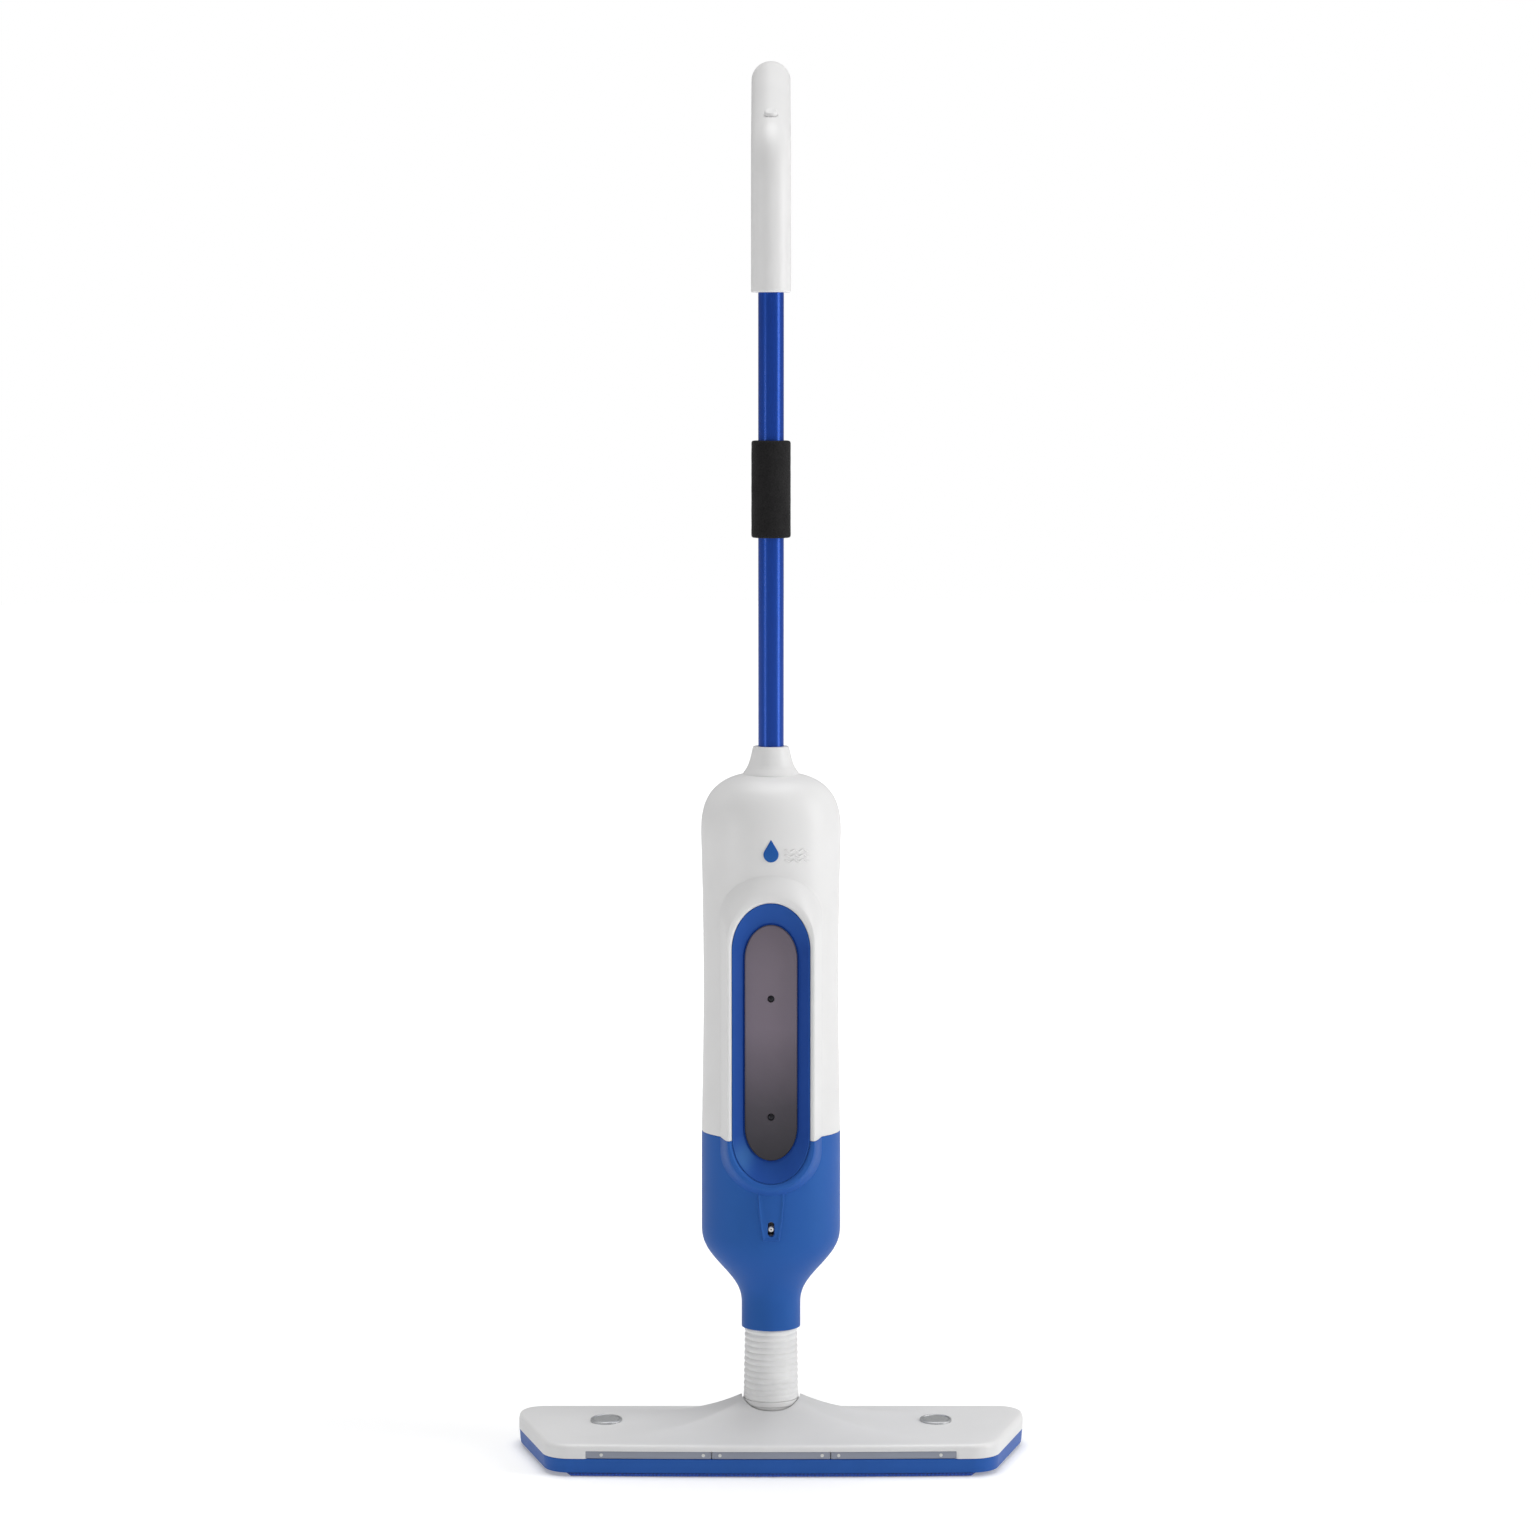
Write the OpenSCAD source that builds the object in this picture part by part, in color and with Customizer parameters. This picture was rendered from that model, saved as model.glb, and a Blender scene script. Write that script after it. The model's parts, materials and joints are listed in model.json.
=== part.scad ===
// Flat spray mop: a swivelling mop head, a water tank in a waisted housing, and a jointed pole
// whose thumb button works a piston pump. Millimetres. +X is to the right as the nozzle faces
// the viewer, +Y points to the rear, +Z is up. The origin is on the floor under the pole's axis.

/* [Head] */
// Overall width of the mop head
head_w = 444; // [440:1:448]
// Distance from the pole's axis forward to the front edge
head_front = 88; // [86:1:90]
// Distance from the pole's axis back to the rear edge
head_rear = 58; // [56:1:60]
// Thickness of the microfibre pad
pad_t = 2.8; // [2:0.2:3.4]
// Height of the line between the blue base and the white cover
base_top = 15.5; // [15.3:0.1:15.8]

/* [Housing] */
// Height of the housing's lower edge
neck_z = 113; // [112:1:114]
// Height of the line between the blue lower shell and the white upper shells
seam_z = 286; // [282:1:287]
// Half-width of the housing at its waist
waist = 58.5; // [58:0.5:60]
// Wall of the moulded shells
wall = 2.5; // [2.2:0.1:2.8]

/* [Pole] */
// Radius of the aluminium tubes
tube_r = 11; // [10.8:0.1:11.2]
// Wall of the aluminium tubes
tube_wall = 0.8; // [0.7:0.1:0.9]
// Radius of the foam sleeve
foam_r = 17; // [16:0.5:18]
// Height of the foam sleeve's lower end
foam_z = 800; // [790:1:810]
// Length of the foam sleeve
foam_len = 83.5; // [80:0.5:88]

/* [Grip] */
// Outer radius of the grip
grip_r = 17.2; // [17:0.1:17.6]
// Height of the grip's lower end
grip_z = 1009.5; // [1005:0.5:1012]

/* [Hidden] */
$fn = 64;

blue = [0.10, 0.28, 0.66];
white = [0.88, 0.88, 0.87];
steel = [0.72, 0.73, 0.75];
smoke = [0.42, 0.39, 0.42, 0.8];

gap = 0.1;                      // between fixed pieces that lie face to face
running = 0.06;                 // radial clearance of a pin in its bore

// ---- head ----
head_lean = 16;                 // the sides lean in towards the front by this many degrees
front_r = 26;                   // front corner radius
rear_r = 22;                    // rear corner radius
side_r = 40;                    // the sides turn upright with this radius, in front of the rear corners
front_bow = 3.3;                // the front edge bows forward by this much
half_w = head_w / 2;
rear_c = [half_w - rear_r, head_rear - rear_r];
side_c = [half_w - side_r, head_rear - rear_r - 7.1];
side_n = [cos(head_lean), -sin(head_lean)];
side_d = side_c * side_n + side_r;
front_cy = front_bow + front_r - head_front;
front_c = [(side_d - front_r - front_cy * side_n.y) / side_n.x, front_cy];
pitch_z = 36;                   // height of the pitch hinge
roll_z = 75;                    // height of the roll hinge
pin_r = 3;
ear_in = 25.4;                  // inner faces of the cover's two ears
barrel_r = 8.4;
barrel_half = 23.6;             // half-length of the knuckle's barrel between the ears
fork_y = 11.7;                  // the knuckle's fork arms stand this far from its middle
fork_t = 4.6;
fork_r = 9;                     // radius of the eyes round the roll pin
slot_floor = base_top + 1.2;
hollow_x = 46;                  // the head is solid round the neck, out to here
strip_half = 160.2;             // half-length of the three front strips together
strip_top = 22.2;
strip_split = 50.9;             // the strip's joints stand this far from the middle
peg_x = [-145.4, -57.9, -43.7, 43.7, 57.9, 145.4];
peg_z = (base_top + strip_top) / 2;
pad_half = 172;                 // half the pad's width
pin_len = 66;
hook_rows = [-62, 28];
head_screw_at = [[-150, -10], [-70, -10], [70, -10], [150, -10]];
head_screw_z = pad_t + 0.8;     // lower faces of the head screws, sunk in the base
head_screw_h = 1.6;
rib_cells = [[-205, 53], [-148, 66], [-68, 66], [2, 66], [72, 66], [152, 53]];  // [start, width]
cover_edge = 27.8;              // height of the cover just inside its edge
shoulder_z = cover_edge - 3.1;  // its side wall is upright up to here
crown_r = 26.5;                 // rim round the neck
crown_front = 42.5;             // height of that rim at the front and rear
crown_side = 51.5;              // height of that rim at the two ears
badge_x = 144;
badge_y = -2;
badge_z = cover_edge + 1.8;
ring_r = 24.5;                  // boot's bottom ring
ring_z = 44.6;
boot_z = 49.8;

// ---- housing ----
neck_r = 25.6;
deep = 0.867;                   // depth of the housing over its width
dome_z = 545;                   // the dome starts here
dome_h = 53.5;
dome_power = 2.7;
top_z = 596;                    // the dome is cut off here, under the collar
lip_y = -59;                    // front plane of the raised rim round the window
rim_back = -33;                 // the rim's outer wall reaches back to here
rim_in = -40;                   // its inner wall, which clears the tank, reaches back to here
window_y = -47.5;               // outer face of the window
window_t = 2.5;
crease = [43.9, 237.4, 514, 36.5];      // outlines: half-width, lowest z, highest z, end height
rim_top = [37.2, 243.8, 497, 39];
opening = [33.7, 248, 491, 40.6];
pane = [22.5, 267, 471, 29.7];
screw_z = [305, 407.3];
tank_z = [252, 486];
tank_a = 47.5;
tank_b = 41.5;
filler_z = 455;
drop_z = 532;
drop_r = 6.5;
nozzle_z = 208;
nozzle_y = -53;
nozzle_hinge_y = -43;

// ---- pump ----
pump_z = 491;
yoke_screw_z = [124, 138];
shell_screw_at = [[-36, 512], [36, 512], [-36, 556], [36, 556]];
bracket = [45, 36];             // half-width and half-depth of the plate under the pump
pump_bore = 8.5;
pump_r = 12;
pump_top = 566;
piston_z = 545;
rod_r = 2.5;

// ---- grip ----
bend_z = 1107;                  // the bend starts here
bend_r = 38;                    // radius of the bend's axis
bend_turn = 62;                 // degrees turned by the bend
rise = 90 - bend_turn;          // the upper part's angle above horizontal
arm_len = 119.6;                // straight length after the bend
joint_z = foam_z + foam_len / 2;
grip_screw_z = 1092;
arm_screw_s = [70, 108];
grip_wall = 2.4;
grip_in = grip_r - grip_wall;
arm = [bend_r * (1 - cos(bend_turn)), bend_z + bend_r * sin(bend_turn)];
along = [cos(rise), sin(rise)];
outward = [-sin(rise), cos(rise)];
button_s = 14;                  // distance of the button past the bend
pivot = [62, 1156];             // lever pin
nose_z = 1121;                  // lever's nose rests on the push rod at this height
lever_t = 4.3;
lever_top = 2.5;                // upper face of the lever above the line from its nose to its pin
button_r = 5.9;

// ======== helpers ========

// Point on a circle's arc, as a list of n + 1 points
function arc(c, r, from, to, n) =
  [for (i = [0:n]) c + r * [cos(from + (to - from) * i / n), sin(from + (to - from) * i / n)]];

// Smooth step from 0 to 1
function ease(t) = let (u = min(1, max(0, t))) u * u * (3 - 2 * u);

// Ring of 3-D points at a height from a flat outline
function level(points, z) = [for (p = points) [p.x, p.y, z]];

// Triangles between ring a and ring b, each of n points
function band(a, b, n) = [for (j = [0:n - 1]) let (k = (j + 1) % n)
  each [[a * n + j, b * n + j, b * n + k], [a * n + j, b * n + k, a * n + k]]];

function joined(rings) = [for (r = rings) each r];

// Solid through a stack of rings, closed by its first and last ring
module loft(rings) {
  n = len(rings[0]);
  m = len(rings);
  sides = [for (i = [0:m - 2]) each band(i, i + 1, n)];
  polyhedron(joined(rings), concat(sides, [[for (j = [0:n - 1]) j]],
    [[for (j = [n - 1:-1:0]) (m - 1) * n + j]]), convexity = 6);
}

// Hollow sleeve: rings go up the outside, then down the inside, and meet the first again
module sleeve(rings) {
  n = len(rings[0]);
  m = len(rings);
  polyhedron(joined(rings), [for (i = [0:m - 1]) each band(i, (i + 1) % m, n)], convexity = 6);
}

// Outline of a rounded upright slot: [half-width, lowest, highest, height of its round ends]
function slot_points(o, grow = 0, n = 12) = let (w = o[0] + grow, e = o[3] + grow)
  concat(
    [for (i = [0:n]) let (t = 180 * i / n) [w * cos(t), o[2] + grow - e + e * sin(t)]],
    [for (i = [0:n]) let (t = 180 + 180 * i / n) [w * cos(t), o[1] - grow + e + e * sin(t)]]
  );

// Ring of a slot outline standing in the plane y
function slot_ring(o, y, grow = 0) = [for (p = slot_points(o, grow)) [p.x, y, p.y]];

// Prism with a slot outline between two y planes
module slot_prism(o, y0, y1, grow = 0) {
  translate([0, y1, 0]) rotate([90, 0, 0]) linear_extrude(y1 - y0) polygon(slot_points(o, grow));
}

module pipe(r_out, r_in, z0, z1) {
  translate([0, 0, z0]) difference() {
    cylinder(r = r_out, h = z1 - z0);
    translate([0, 0, -1]) cylinder(r = r_in, h = z1 - z0 + 2);
  }
}

// Cylinder along Y from y0 to y1
module rod_y(r, y0, y1) { translate([0, y1, 0]) rotate([90, 0, 0]) cylinder(r = r, h = y1 - y0); }

// Cylinder along X, centred
module rod_x(r, length) { rotate([0, 90, 0]) cylinder(r = r, h = length, center = true); }

module ring_y(r_out, r_in, y0, y1) {
  difference() {
    rod_y(r_out, y0, y1);
    rod_y(r_in, y0 - 1, y1 + 1);
  }
}

// Places a child's +Z along the grip's outward direction, at distance s past the bend
module on_arm(s) {
  p = arm + s * along;
  translate([0, p.x, p.y]) rotate([rise, 0, 0]) children();
}

// Tube swept along 3-D points with flat-sided rings
function unit(v) = v / norm(v);
function tangent(path, i) = unit(path[min(i + 1, len(path) - 1)] - path[max(i - 1, 0)]);
function swept(path, r, sides, hint) = [for (i = [0:len(path) - 1])
  let (t = tangent(path, i), u = unit(cross(hint, t)), v = cross(t, u))
  [for (j = [0:sides - 1]) path[i] + r * (cos(360 * j / sides) * u + sin(360 * j / sides) * v)]];

// Compression spring from the origin up +Z
module spring(radius, wire, height, turns, steps = 14) {
  path = [for (i = [0:turns * steps]) let (t = i / (turns * steps), a = 360 * turns * t)
    [radius * cos(a), radius * sin(a), wire + (height - 2 * wire) * t]];
  loft(swept(path, wire, 6, [0, 0, 1]));
}

module screw(r_head, h_head, r_shank, length) {
  translate([0, 0, -h_head]) difference() {
    cylinder(r = r_head, h = h_head);
    for (turn = [0, 90]) translate([0, 0, h_head]) rotate(turn)
      cube([r_head * 1.3, r_head * 0.28, h_head], center = true);
  }
  translate([0, 0, -length]) cylinder(r = r_shank, h = length - h_head / 2);
}

// ======== head ========

// Front edge of the head at x, moved back by d
function front_y(x, d = 0) = front_bow * pow(x / front_c.x, 2) - head_front + d;

function reversed(points) = [for (i = [len(points) - 1:-1:0]) points[i]];

// Right side of the head and its rear corner, drawn in by d
function right_side(d, n) =
  concat(arc(side_c, side_r - d, -head_lean, 0, 2), arc(rear_c, rear_r - d, 0, 90, n));

// Outline of the head, drawn in by d all round
function head_outline(d = 0, n = 5) = let (reach = 0.85 * front_c.x)
  concat(
    [for (i = [0:6]) let (x = reach * (i / 3 - 1)) [x, front_y(x, d)]],
    arc(front_c, front_r - d, -88, -head_lean, n),
    right_side(d, n),
    [for (p = reversed(right_side(d, n))) [-p.x, p.y]],
    arc([-front_c.x, front_c.y], front_r - d, 180 + head_lean, 268, n)
  );

// Ring at a share t of the way from the head's edge to the rim round the neck, moved by drop
function crown_ring(t, drop = 0) = [for (p = head_outline(4))
  let (a = atan2(p.y, p.x), side = pow(abs(cos(a)), 3), q = crown_r * [cos(a), sin(a)],
    m = p + (q - p) * t, high = crown_front + (crown_side - crown_front) * side)
  [m.x, m.y, cover_edge + (high - cover_edge) * pow(t, 2.2 + 2 * side) - drop]];

// The pad has square front corners and follows the head's sides, a little inside them
module mop_pad() {
  color(blue) linear_extrude(pad_t - gap) polygon(concat(
    [for (i = [-3:3]) [pad_half * i / 3, front_y(pad_half * i / 3, 1)]],
    right_side(7, 5),
    [for (p = reversed(right_side(7, 5))) [-p.x, p.y]]));
}

module hook_strips() {
  color([0.16, 0.17, 0.2]) for (y = hook_rows)
    translate([-150, y - 11, pad_t]) cube([300, 22, 1.1]);
}

module head_screw_posts(r, z0, z1) {
  for (p = head_screw_at) translate([p.x, p.y, z0]) cylinder(r = r, h = z1 - z0);
}

module head_base() {
  color(blue) difference() {
    loft([level(head_outline(1.2), pad_t), level(head_outline(0.4), base_top - 1.5),
      level(head_outline(0.2), base_top - gap)]);
    for (y = hook_rows) translate([-150.2, y - 11.2, pad_t - 1]) cube([300.4, 22.4, 2.2]);
    difference() {
      for (cell = rib_cells) translate([cell[0], -68, pad_t + 3.6]) cube([cell[1], 112, 20]);
      head_screw_posts(5, 0, 30);
      for (s = [-1, 1]) rotate(-s * head_lean) translate([s * (side_d - wall + 30), 0, 10])
        cube([60, 400, 60], center = true);
    }
    head_screw_posts(1.4, 0, 20);
    head_screw_posts(3.4, 0, head_screw_z + head_screw_h);
  }
}

module cover_body() {
  loft(concat(
    [level(head_outline(0), base_top), level(head_outline(0), shoulder_z),
      level(head_outline(1.2), cover_edge - 1)],
    [for (t = [0, 0.25, 0.5, 0.7, 0.85, 0.94, 1]) crown_ring(t)]));
}

// Hollow under the cover, to the left and right of the neck
module cover_hollow() {
  difference() {
    loft(concat([level(head_outline(3), base_top - 1), level(head_outline(3), shoulder_z - 0.5)],
      [for (t = [0.02, 0.3, 0.6]) crown_ring(t, wall)]));
    translate([-hollow_x, -100, 0]) cube([2 * hollow_x, 200, 60]);
    translate([-strip_half - 3, -100, 0]) cube([2 * strip_half + 6, 26, 60]);
    head_screw_posts(4.5, 0, 60);
  }
}

// Space that the neck sweeps as it pitches back
module neck_sweep() {
  translate([0, 0, slot_floor]) {
    cylinder(r = ring_r + 0.9, h = 60);
    translate([-ear_in, 0, 0]) cube([2 * ear_in, 80, 60]);
  }
}

module head_cover() {
  color(white) difference() {
    cover_body();
    cover_hollow();
    neck_sweep();
    translate([-strip_half - 0.2, -100, base_top - 1])
      cube([2 * strip_half + 0.4, 24, strip_top - base_top + 1]);
    translate([0, 0, pitch_z]) rod_x(pin_r + 0.02, pin_len + 2);
    head_screw_posts(1.3, base_top - 1, base_top + 8);
  }
}

module head_screws() {
  color(steel) for (p = head_screw_at)
    translate([p.x, p.y, head_screw_z]) rotate([180, 0, 0]) screw(3, head_screw_h, 1.25, 15);
}

// One length of the smoked strip let into the front of the cover
module strip(x0, x1) {
  low = x0 + 0.15;
  high = x1 - 0.15;
  color(smoke) difference() {
    translate([0, 0, base_top + gap]) linear_extrude(strip_top - base_top - 2 * gap)
      polygon(concat([for (i = [0:4]) let (x = low + (high - low) * i / 4) [x, front_y(x, 0.9)]],
        [for (i = [4:-1:0]) let (x = low + (high - low) * i / 4) [x, front_y(x, 5)]]));
    for (x = peg_x) translate([x, 0, peg_z]) rod_y(1.6, -100, -60);
  }
}

module strip_pegs() {
  color(white) for (x = peg_x)
    translate([x, 0, peg_z]) rod_y(1.5, front_y(x, 0.6), front_y(x, 9));
}

module head_badges() {
  color(steel) for (s = [-1, 1]) translate([s * badge_x, badge_y, badge_z]) rotate([2.5, 0, 0])
    pipe(14, 11.5, 0, 0.8);
}

module pitch_pin() {
  color(steel) translate([0, 0, pitch_z]) rod_x(pin_r, pin_len);
}

// ======== neck ========

module knuckle() {
  color([0.3, 0.31, 0.34]) difference() {
    union() {
      translate([0, 0, pitch_z]) rod_x(barrel_r, 2 * barrel_half);
      translate([0, 0, pitch_z + 2]) cylinder(r = 16.5, h = boot_z - pitch_z - 2);
      for (s = [-1, 1]) translate([0, s * fork_y - fork_t / 2, 0]) {
        translate([-fork_r, 0, pitch_z + 8]) cube([2 * fork_r, fork_t, roll_z - pitch_z - 8]);
        translate([0, 0, roll_z]) rod_y(fork_r, 0, fork_t);
      }
    }
    translate([0, 0, pitch_z]) rod_x(pin_r + running, 60);
    translate([0, 0, roll_z]) rod_y(pin_r + 0.02, -20, 20);
  }
}

module boot_ring() { color(white) pipe(ring_r, 16.7, ring_z, boot_z - gap); }

// Corrugated boot as a plain sleeve: the folds are shallow
module boot() {
  color(white) rotate_extrude() polygon([[19.6, boot_z], [24, boot_z], [22.9, neck_z - 1],
    [22.7, neck_z + 4], [19.6, neck_z + 4]]);
}

module roll_pin() { color(steel) translate([0, 0, roll_z]) rod_y(pin_r, -14, 14); }

module neck_yoke() {
  color([0.3, 0.31, 0.34]) difference() {
    union() {
      translate([0, 0, neck_z + 5]) cylinder(r = neck_r - wall - 0.15, h = 27);
      translate([-8, -9, roll_z]) cube([16, 18, neck_z + 6 - roll_z]);
      translate([0, 0, roll_z]) rod_y(9, -9, 9);
    }
    translate([0, 0, roll_z]) rod_y(pin_r + running, -20, 20);
    for (z = yoke_screw_z) translate([0, 0, z]) rod_y(1.3, 8, 40);
  }
}

module yoke_screws() {
  color(steel) for (z = yoke_screw_z)
    translate([0, neck_r - 0.6, z]) rotate([-90, 0, 0]) screw(2.6, 1.8, 1.25, 13);
}

// ======== housing ========

// Share of the way from the neck to the full body at height z
function swell(z) = let (t = min(1, max(0, (z - 131) / 72))) t * t * t * (10 - 15 * t + 6 * t * t);

// Half-width of the housing's outside at height z, drawn in by d
function half_width(z, d = 0) =
  let (dome_w = waist + 2 - d, high = dome_h - d,
    body = z > 410 ? waist + 2 * pow((z - 410) / (dome_z - 410), 2) : waist + 1.8 * ease((410 - z) / 150))
  z > dome_z ? dome_w * pow(1 - pow((z - dome_z) / high, dome_power), 1 / dome_power)
    : neck_r + (body - neck_r) * swell(z) - d;

// Elliptical ring of the housing at height z, drawn in by d
function body_ring(z, d = 0, n = 56) = let (a = half_width(z, d), full = half_width(z, 0),
  b = full > 0 ? a * (1 - (1 - deep) * swell(z)) - d * (1 - deep) * swell(z) : a)
  [for (i = [0:n - 1]) [a * cos(360 * i / n), b * sin(360 * i / n), z]];

function round_ring(r, z, n = 56) = [for (i = [0:n - 1]) [r * cos(360 * i / n), r * sin(360 * i / n), z]];

function turned(list) = [for (i = [len(list) - 1:-1:0]) list[i]];

lower_levels = [neck_z, 131, 140, 149, 158, 167, 176, 185, 194, 203, 240, seam_z - gap];
upper_levels = [seam_z + gap, 320, 360, 410, 460, 500, dome_z, 560, 570, 578, 585, 590];

// Raised rim that stands out round the window
module rim() {
  sleeve([slot_ring(crease, rim_back), slot_ring(rim_top, lip_y + 1), slot_ring(rim_top, lip_y, -1),
    slot_ring(opening, lip_y), slot_ring(opening, rim_in)]);
}

module lower_shell() {
  color(blue) difference() {
    union() {
      difference() {
        sleeve(concat([for (z = lower_levels) body_ring(z)],
          [for (z = turned(lower_levels)) body_ring(z, wall)]));
        slot_prism(opening, -70, -20, 1);
      }
      difference() {
        rim();
        translate([-60, -70, seam_z - gap]) cube([120, 60, 400]);
      }
    }
    tongue_prism(-70, -40, 0.15);
    for (z = yoke_screw_z) translate([0, 0, z]) rod_y(2.8, 10, 40);
  }
}

// Full upper shell, before it is parted into front and rear
module upper_sleeve() {
  sleeve(concat([for (z = upper_levels) body_ring(z)], [body_ring(top_z)],
    [round_ring(17.4, top_z), round_ring(17.4, top_z - wall)],
    [for (z = turned(upper_levels)) body_ring(z, wall)]));
}

module upper_front_shell() {
  color(white) difference() {
    union() {
      difference() {
        upper_sleeve();
        translate([-80, -gap / 2, 200]) cube([160, 80, 500]);
        slot_prism(opening, -70, -20, 1);
      }
      difference() {
        rim();
        translate([-60, -70, 200]) cube([120, 60, seam_z + gap - 200]);
      }
      for (p = shell_screw_at) translate([p.x, 0, p.y]) rod_y(4.5, -39.5, -gap / 2);
    }
    for (p = shell_screw_at) translate([p.x, 0, p.y]) rod_y(1.55, -14, 1);
    drop_prism(drop_r + 0.15, -60, -50.9);
  }
}

module upper_rear_shell() {
  color(white) difference() {
    union() {
      difference() {
        upper_sleeve();
        translate([-80, gap / 2 - 80, 200]) cube([160, 80, 500]);
      }
      for (p = shell_screw_at) translate([p.x, 0, p.y]) rod_y(4.5, gap / 2, 39.5);
      translate([0, 0, filler_z]) rod_y(19, 46.5, 52);
    }
    for (p = shell_screw_at) translate([p.x, 0, p.y]) {
      rod_y(1.7, -1, 60);
      rod_y(3.2, 8, 60);
    }
    translate([0, 0, filler_z]) rod_y(14.4, 20, 60);
  }
}

module shell_screws() {
  color(steel) for (p = shell_screw_at)
    translate([p.x, 10, p.y]) rotate([-90, 0, 0]) screw(3, 2, 1.5, 20);
}

module window_bowl() {
  front = lip_y + 1.6;
  back = window_y + window_t + 1;
  color(blue) sleeve([slot_ring(opening, back, -0.15), slot_ring(opening, front, -0.15),
    slot_ring(opening, front, -1.4), slot_ring(pane, window_y + 1.5, 2.2),
    slot_ring(pane, window_y + 0.5, 0.15), slot_ring(pane, back, 0.15)]);
}

module window() {
  color(smoke) difference() {
    slot_prism(pane, window_y, window_y + window_t);
    for (z = screw_z) translate([0, 0, z]) {
      rod_y(1.35, -60, -40);
      rod_y(3.1, -60, window_y + 1.2);
    }
  }
}

module window_screws() {
  color(steel) for (z = screw_z)
    translate([0, window_y + 0.2, z]) rotate([90, 0, 0]) screw(2.1, 1, 1.25, 9);
}

// Prism with the outline of a drop whose round end has radius r
module drop_prism(r, y0, y1) {
  translate([0, y1, drop_z]) rotate([90, 0, 0]) linear_extrude(y1 - y0)
    polygon(concat(arc([0, 0], r, 150, 390, 16), [[0, 2 * r]]));
}

// Plain drop let into the upper shell above the window
module drop_emblem() { color(blue) drop_prism(drop_r, -52.7, -51); }

// Flat outline of the cover over the nozzle, grown by d
module tongue_prism(y0, y1, d = 0) {
  translate([0, y1, 0]) rotate([90, 0, 0]) linear_extrude(y1 - y0)
    polygon([[-7.7 - d, 198.5 - d], [7.7 + d, 198.5 - d], [11.4 + d, 237 + d], [-11.4 - d, 237 + d]]);
}

// Cover plate with a long slot, in which the nozzle tip tilts
module nozzle_cover() {
  color(blue) difference() {
    tongue_prism(-54.4, -49.6);
    for (z = [nozzle_z - 4, nozzle_z + 4]) translate([0, 0, z]) rod_y(2.9, -60, -40);
    translate([-2.9, -60, nozzle_z - 4]) cube([5.8, 20, 8]);
  }
}

module nozzle_block() {
  color([0.3, 0.31, 0.34]) difference() {
    union() {
      translate([-7, -49.4, nozzle_z - 8]) cube([14, 12.4, 16]);
      translate([0, 0, nozzle_z]) rod_y(2.6, -38, -30);
    }
    translate([0, nozzle_hinge_y, nozzle_z]) rod_x(3 + running, 9);
    translate([-2.8, -50, nozzle_z - 5]) cube([5.6, 50 + nozzle_hinge_y, 10]);
    translate([0, 0, nozzle_z]) rod_y(1.2, nozzle_hinge_y, -20);
  }
}

module nozzle() {
  color(white) difference() {
    union() {
      translate([0, nozzle_hinge_y, nozzle_z]) rod_x(3, 8.6);
      translate([0, 0, nozzle_z]) rod_y(2.5, nozzle_y, nozzle_hinge_y);
    }
    translate([0, 0, nozzle_z]) rod_y(0.7, nozzle_y - 1, nozzle_hinge_y + 5);
  }
}

// ======== tank and pump ========

module oval(a, b, h, n = 48) {
  linear_extrude(h) polygon([for (i = [0:n - 1]) [a * cos(360 * i / n), b * sin(360 * i / n)]]);
}

module tank() {
  color([0.8, 0.85, 0.9, 0.6]) difference() {
    union() {
      translate([0, 0, tank_z[0]]) oval(tank_a, tank_b, tank_z[1] - tank_z[0]);
      translate([0, 0, filler_z]) rod_y(14, 36, 50.4);
      for (z = screw_z) translate([0, 0, z]) rod_y(4, window_y + window_t + 0.15, -36);
    }
    difference() {
      translate([0, 0, tank_z[0] + 2]) oval(tank_a - 2, tank_b - 2, tank_z[1] - tank_z[0] - 4);
      for (z = screw_z) translate([0, 0, z]) rod_y(4, -60, -34);
    }
    translate([0, 0, filler_z]) rod_y(11.2, 30, 60);
    for (z = screw_z) translate([0, 0, z]) rod_y(1.35, -60, -36.5);
    translate([0, 0, tank_z[1] - 5]) cylinder(r = 3, h = 10);
  }
}

module filler_seal() {
  color([0.15, 0.15, 0.16]) translate([0, 0, filler_z]) ring_y(13.6, 11.3, 50.5, 52);
}

module filler_cap() {
  color(blue) translate([0, 0, filler_z]) {
    rod_y(18, 52.2, 56);
    rod_y(10.9, 44, 52.2);
    translate([-15, 56, -3]) cube([30, 4, 6]);
  }
}

// Plate under the pump, which stands on the tank's top on a low skirt
module pump_bracket() {
  color(white) difference() {
    translate([0, 0, tank_z[1] + gap]) oval(bracket.x, bracket.y, pump_z - tank_z[1] - 2 * gap);
    translate([0, 0, tank_z[1]]) oval(bracket.x - 3, bracket.y - 3, pump_z - tank_z[1] - 3);
    translate([0, 0, pump_z - 5]) cylinder(r = 3, h = 10);
    pump_screw_places() translate([0, 0, -5]) cylinder(r = 1.3, h = 20);
  }
}

module pump_screw_places() {
  for (a = [30, 150, 270]) rotate(a) translate([15, 0, pump_z]) children();
}

module pump_screws() {
  color(steel) pump_screw_places() translate([0, 0, 4.8]) screw(2.4, 1.6, 1.25, 7.6);
}

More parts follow.
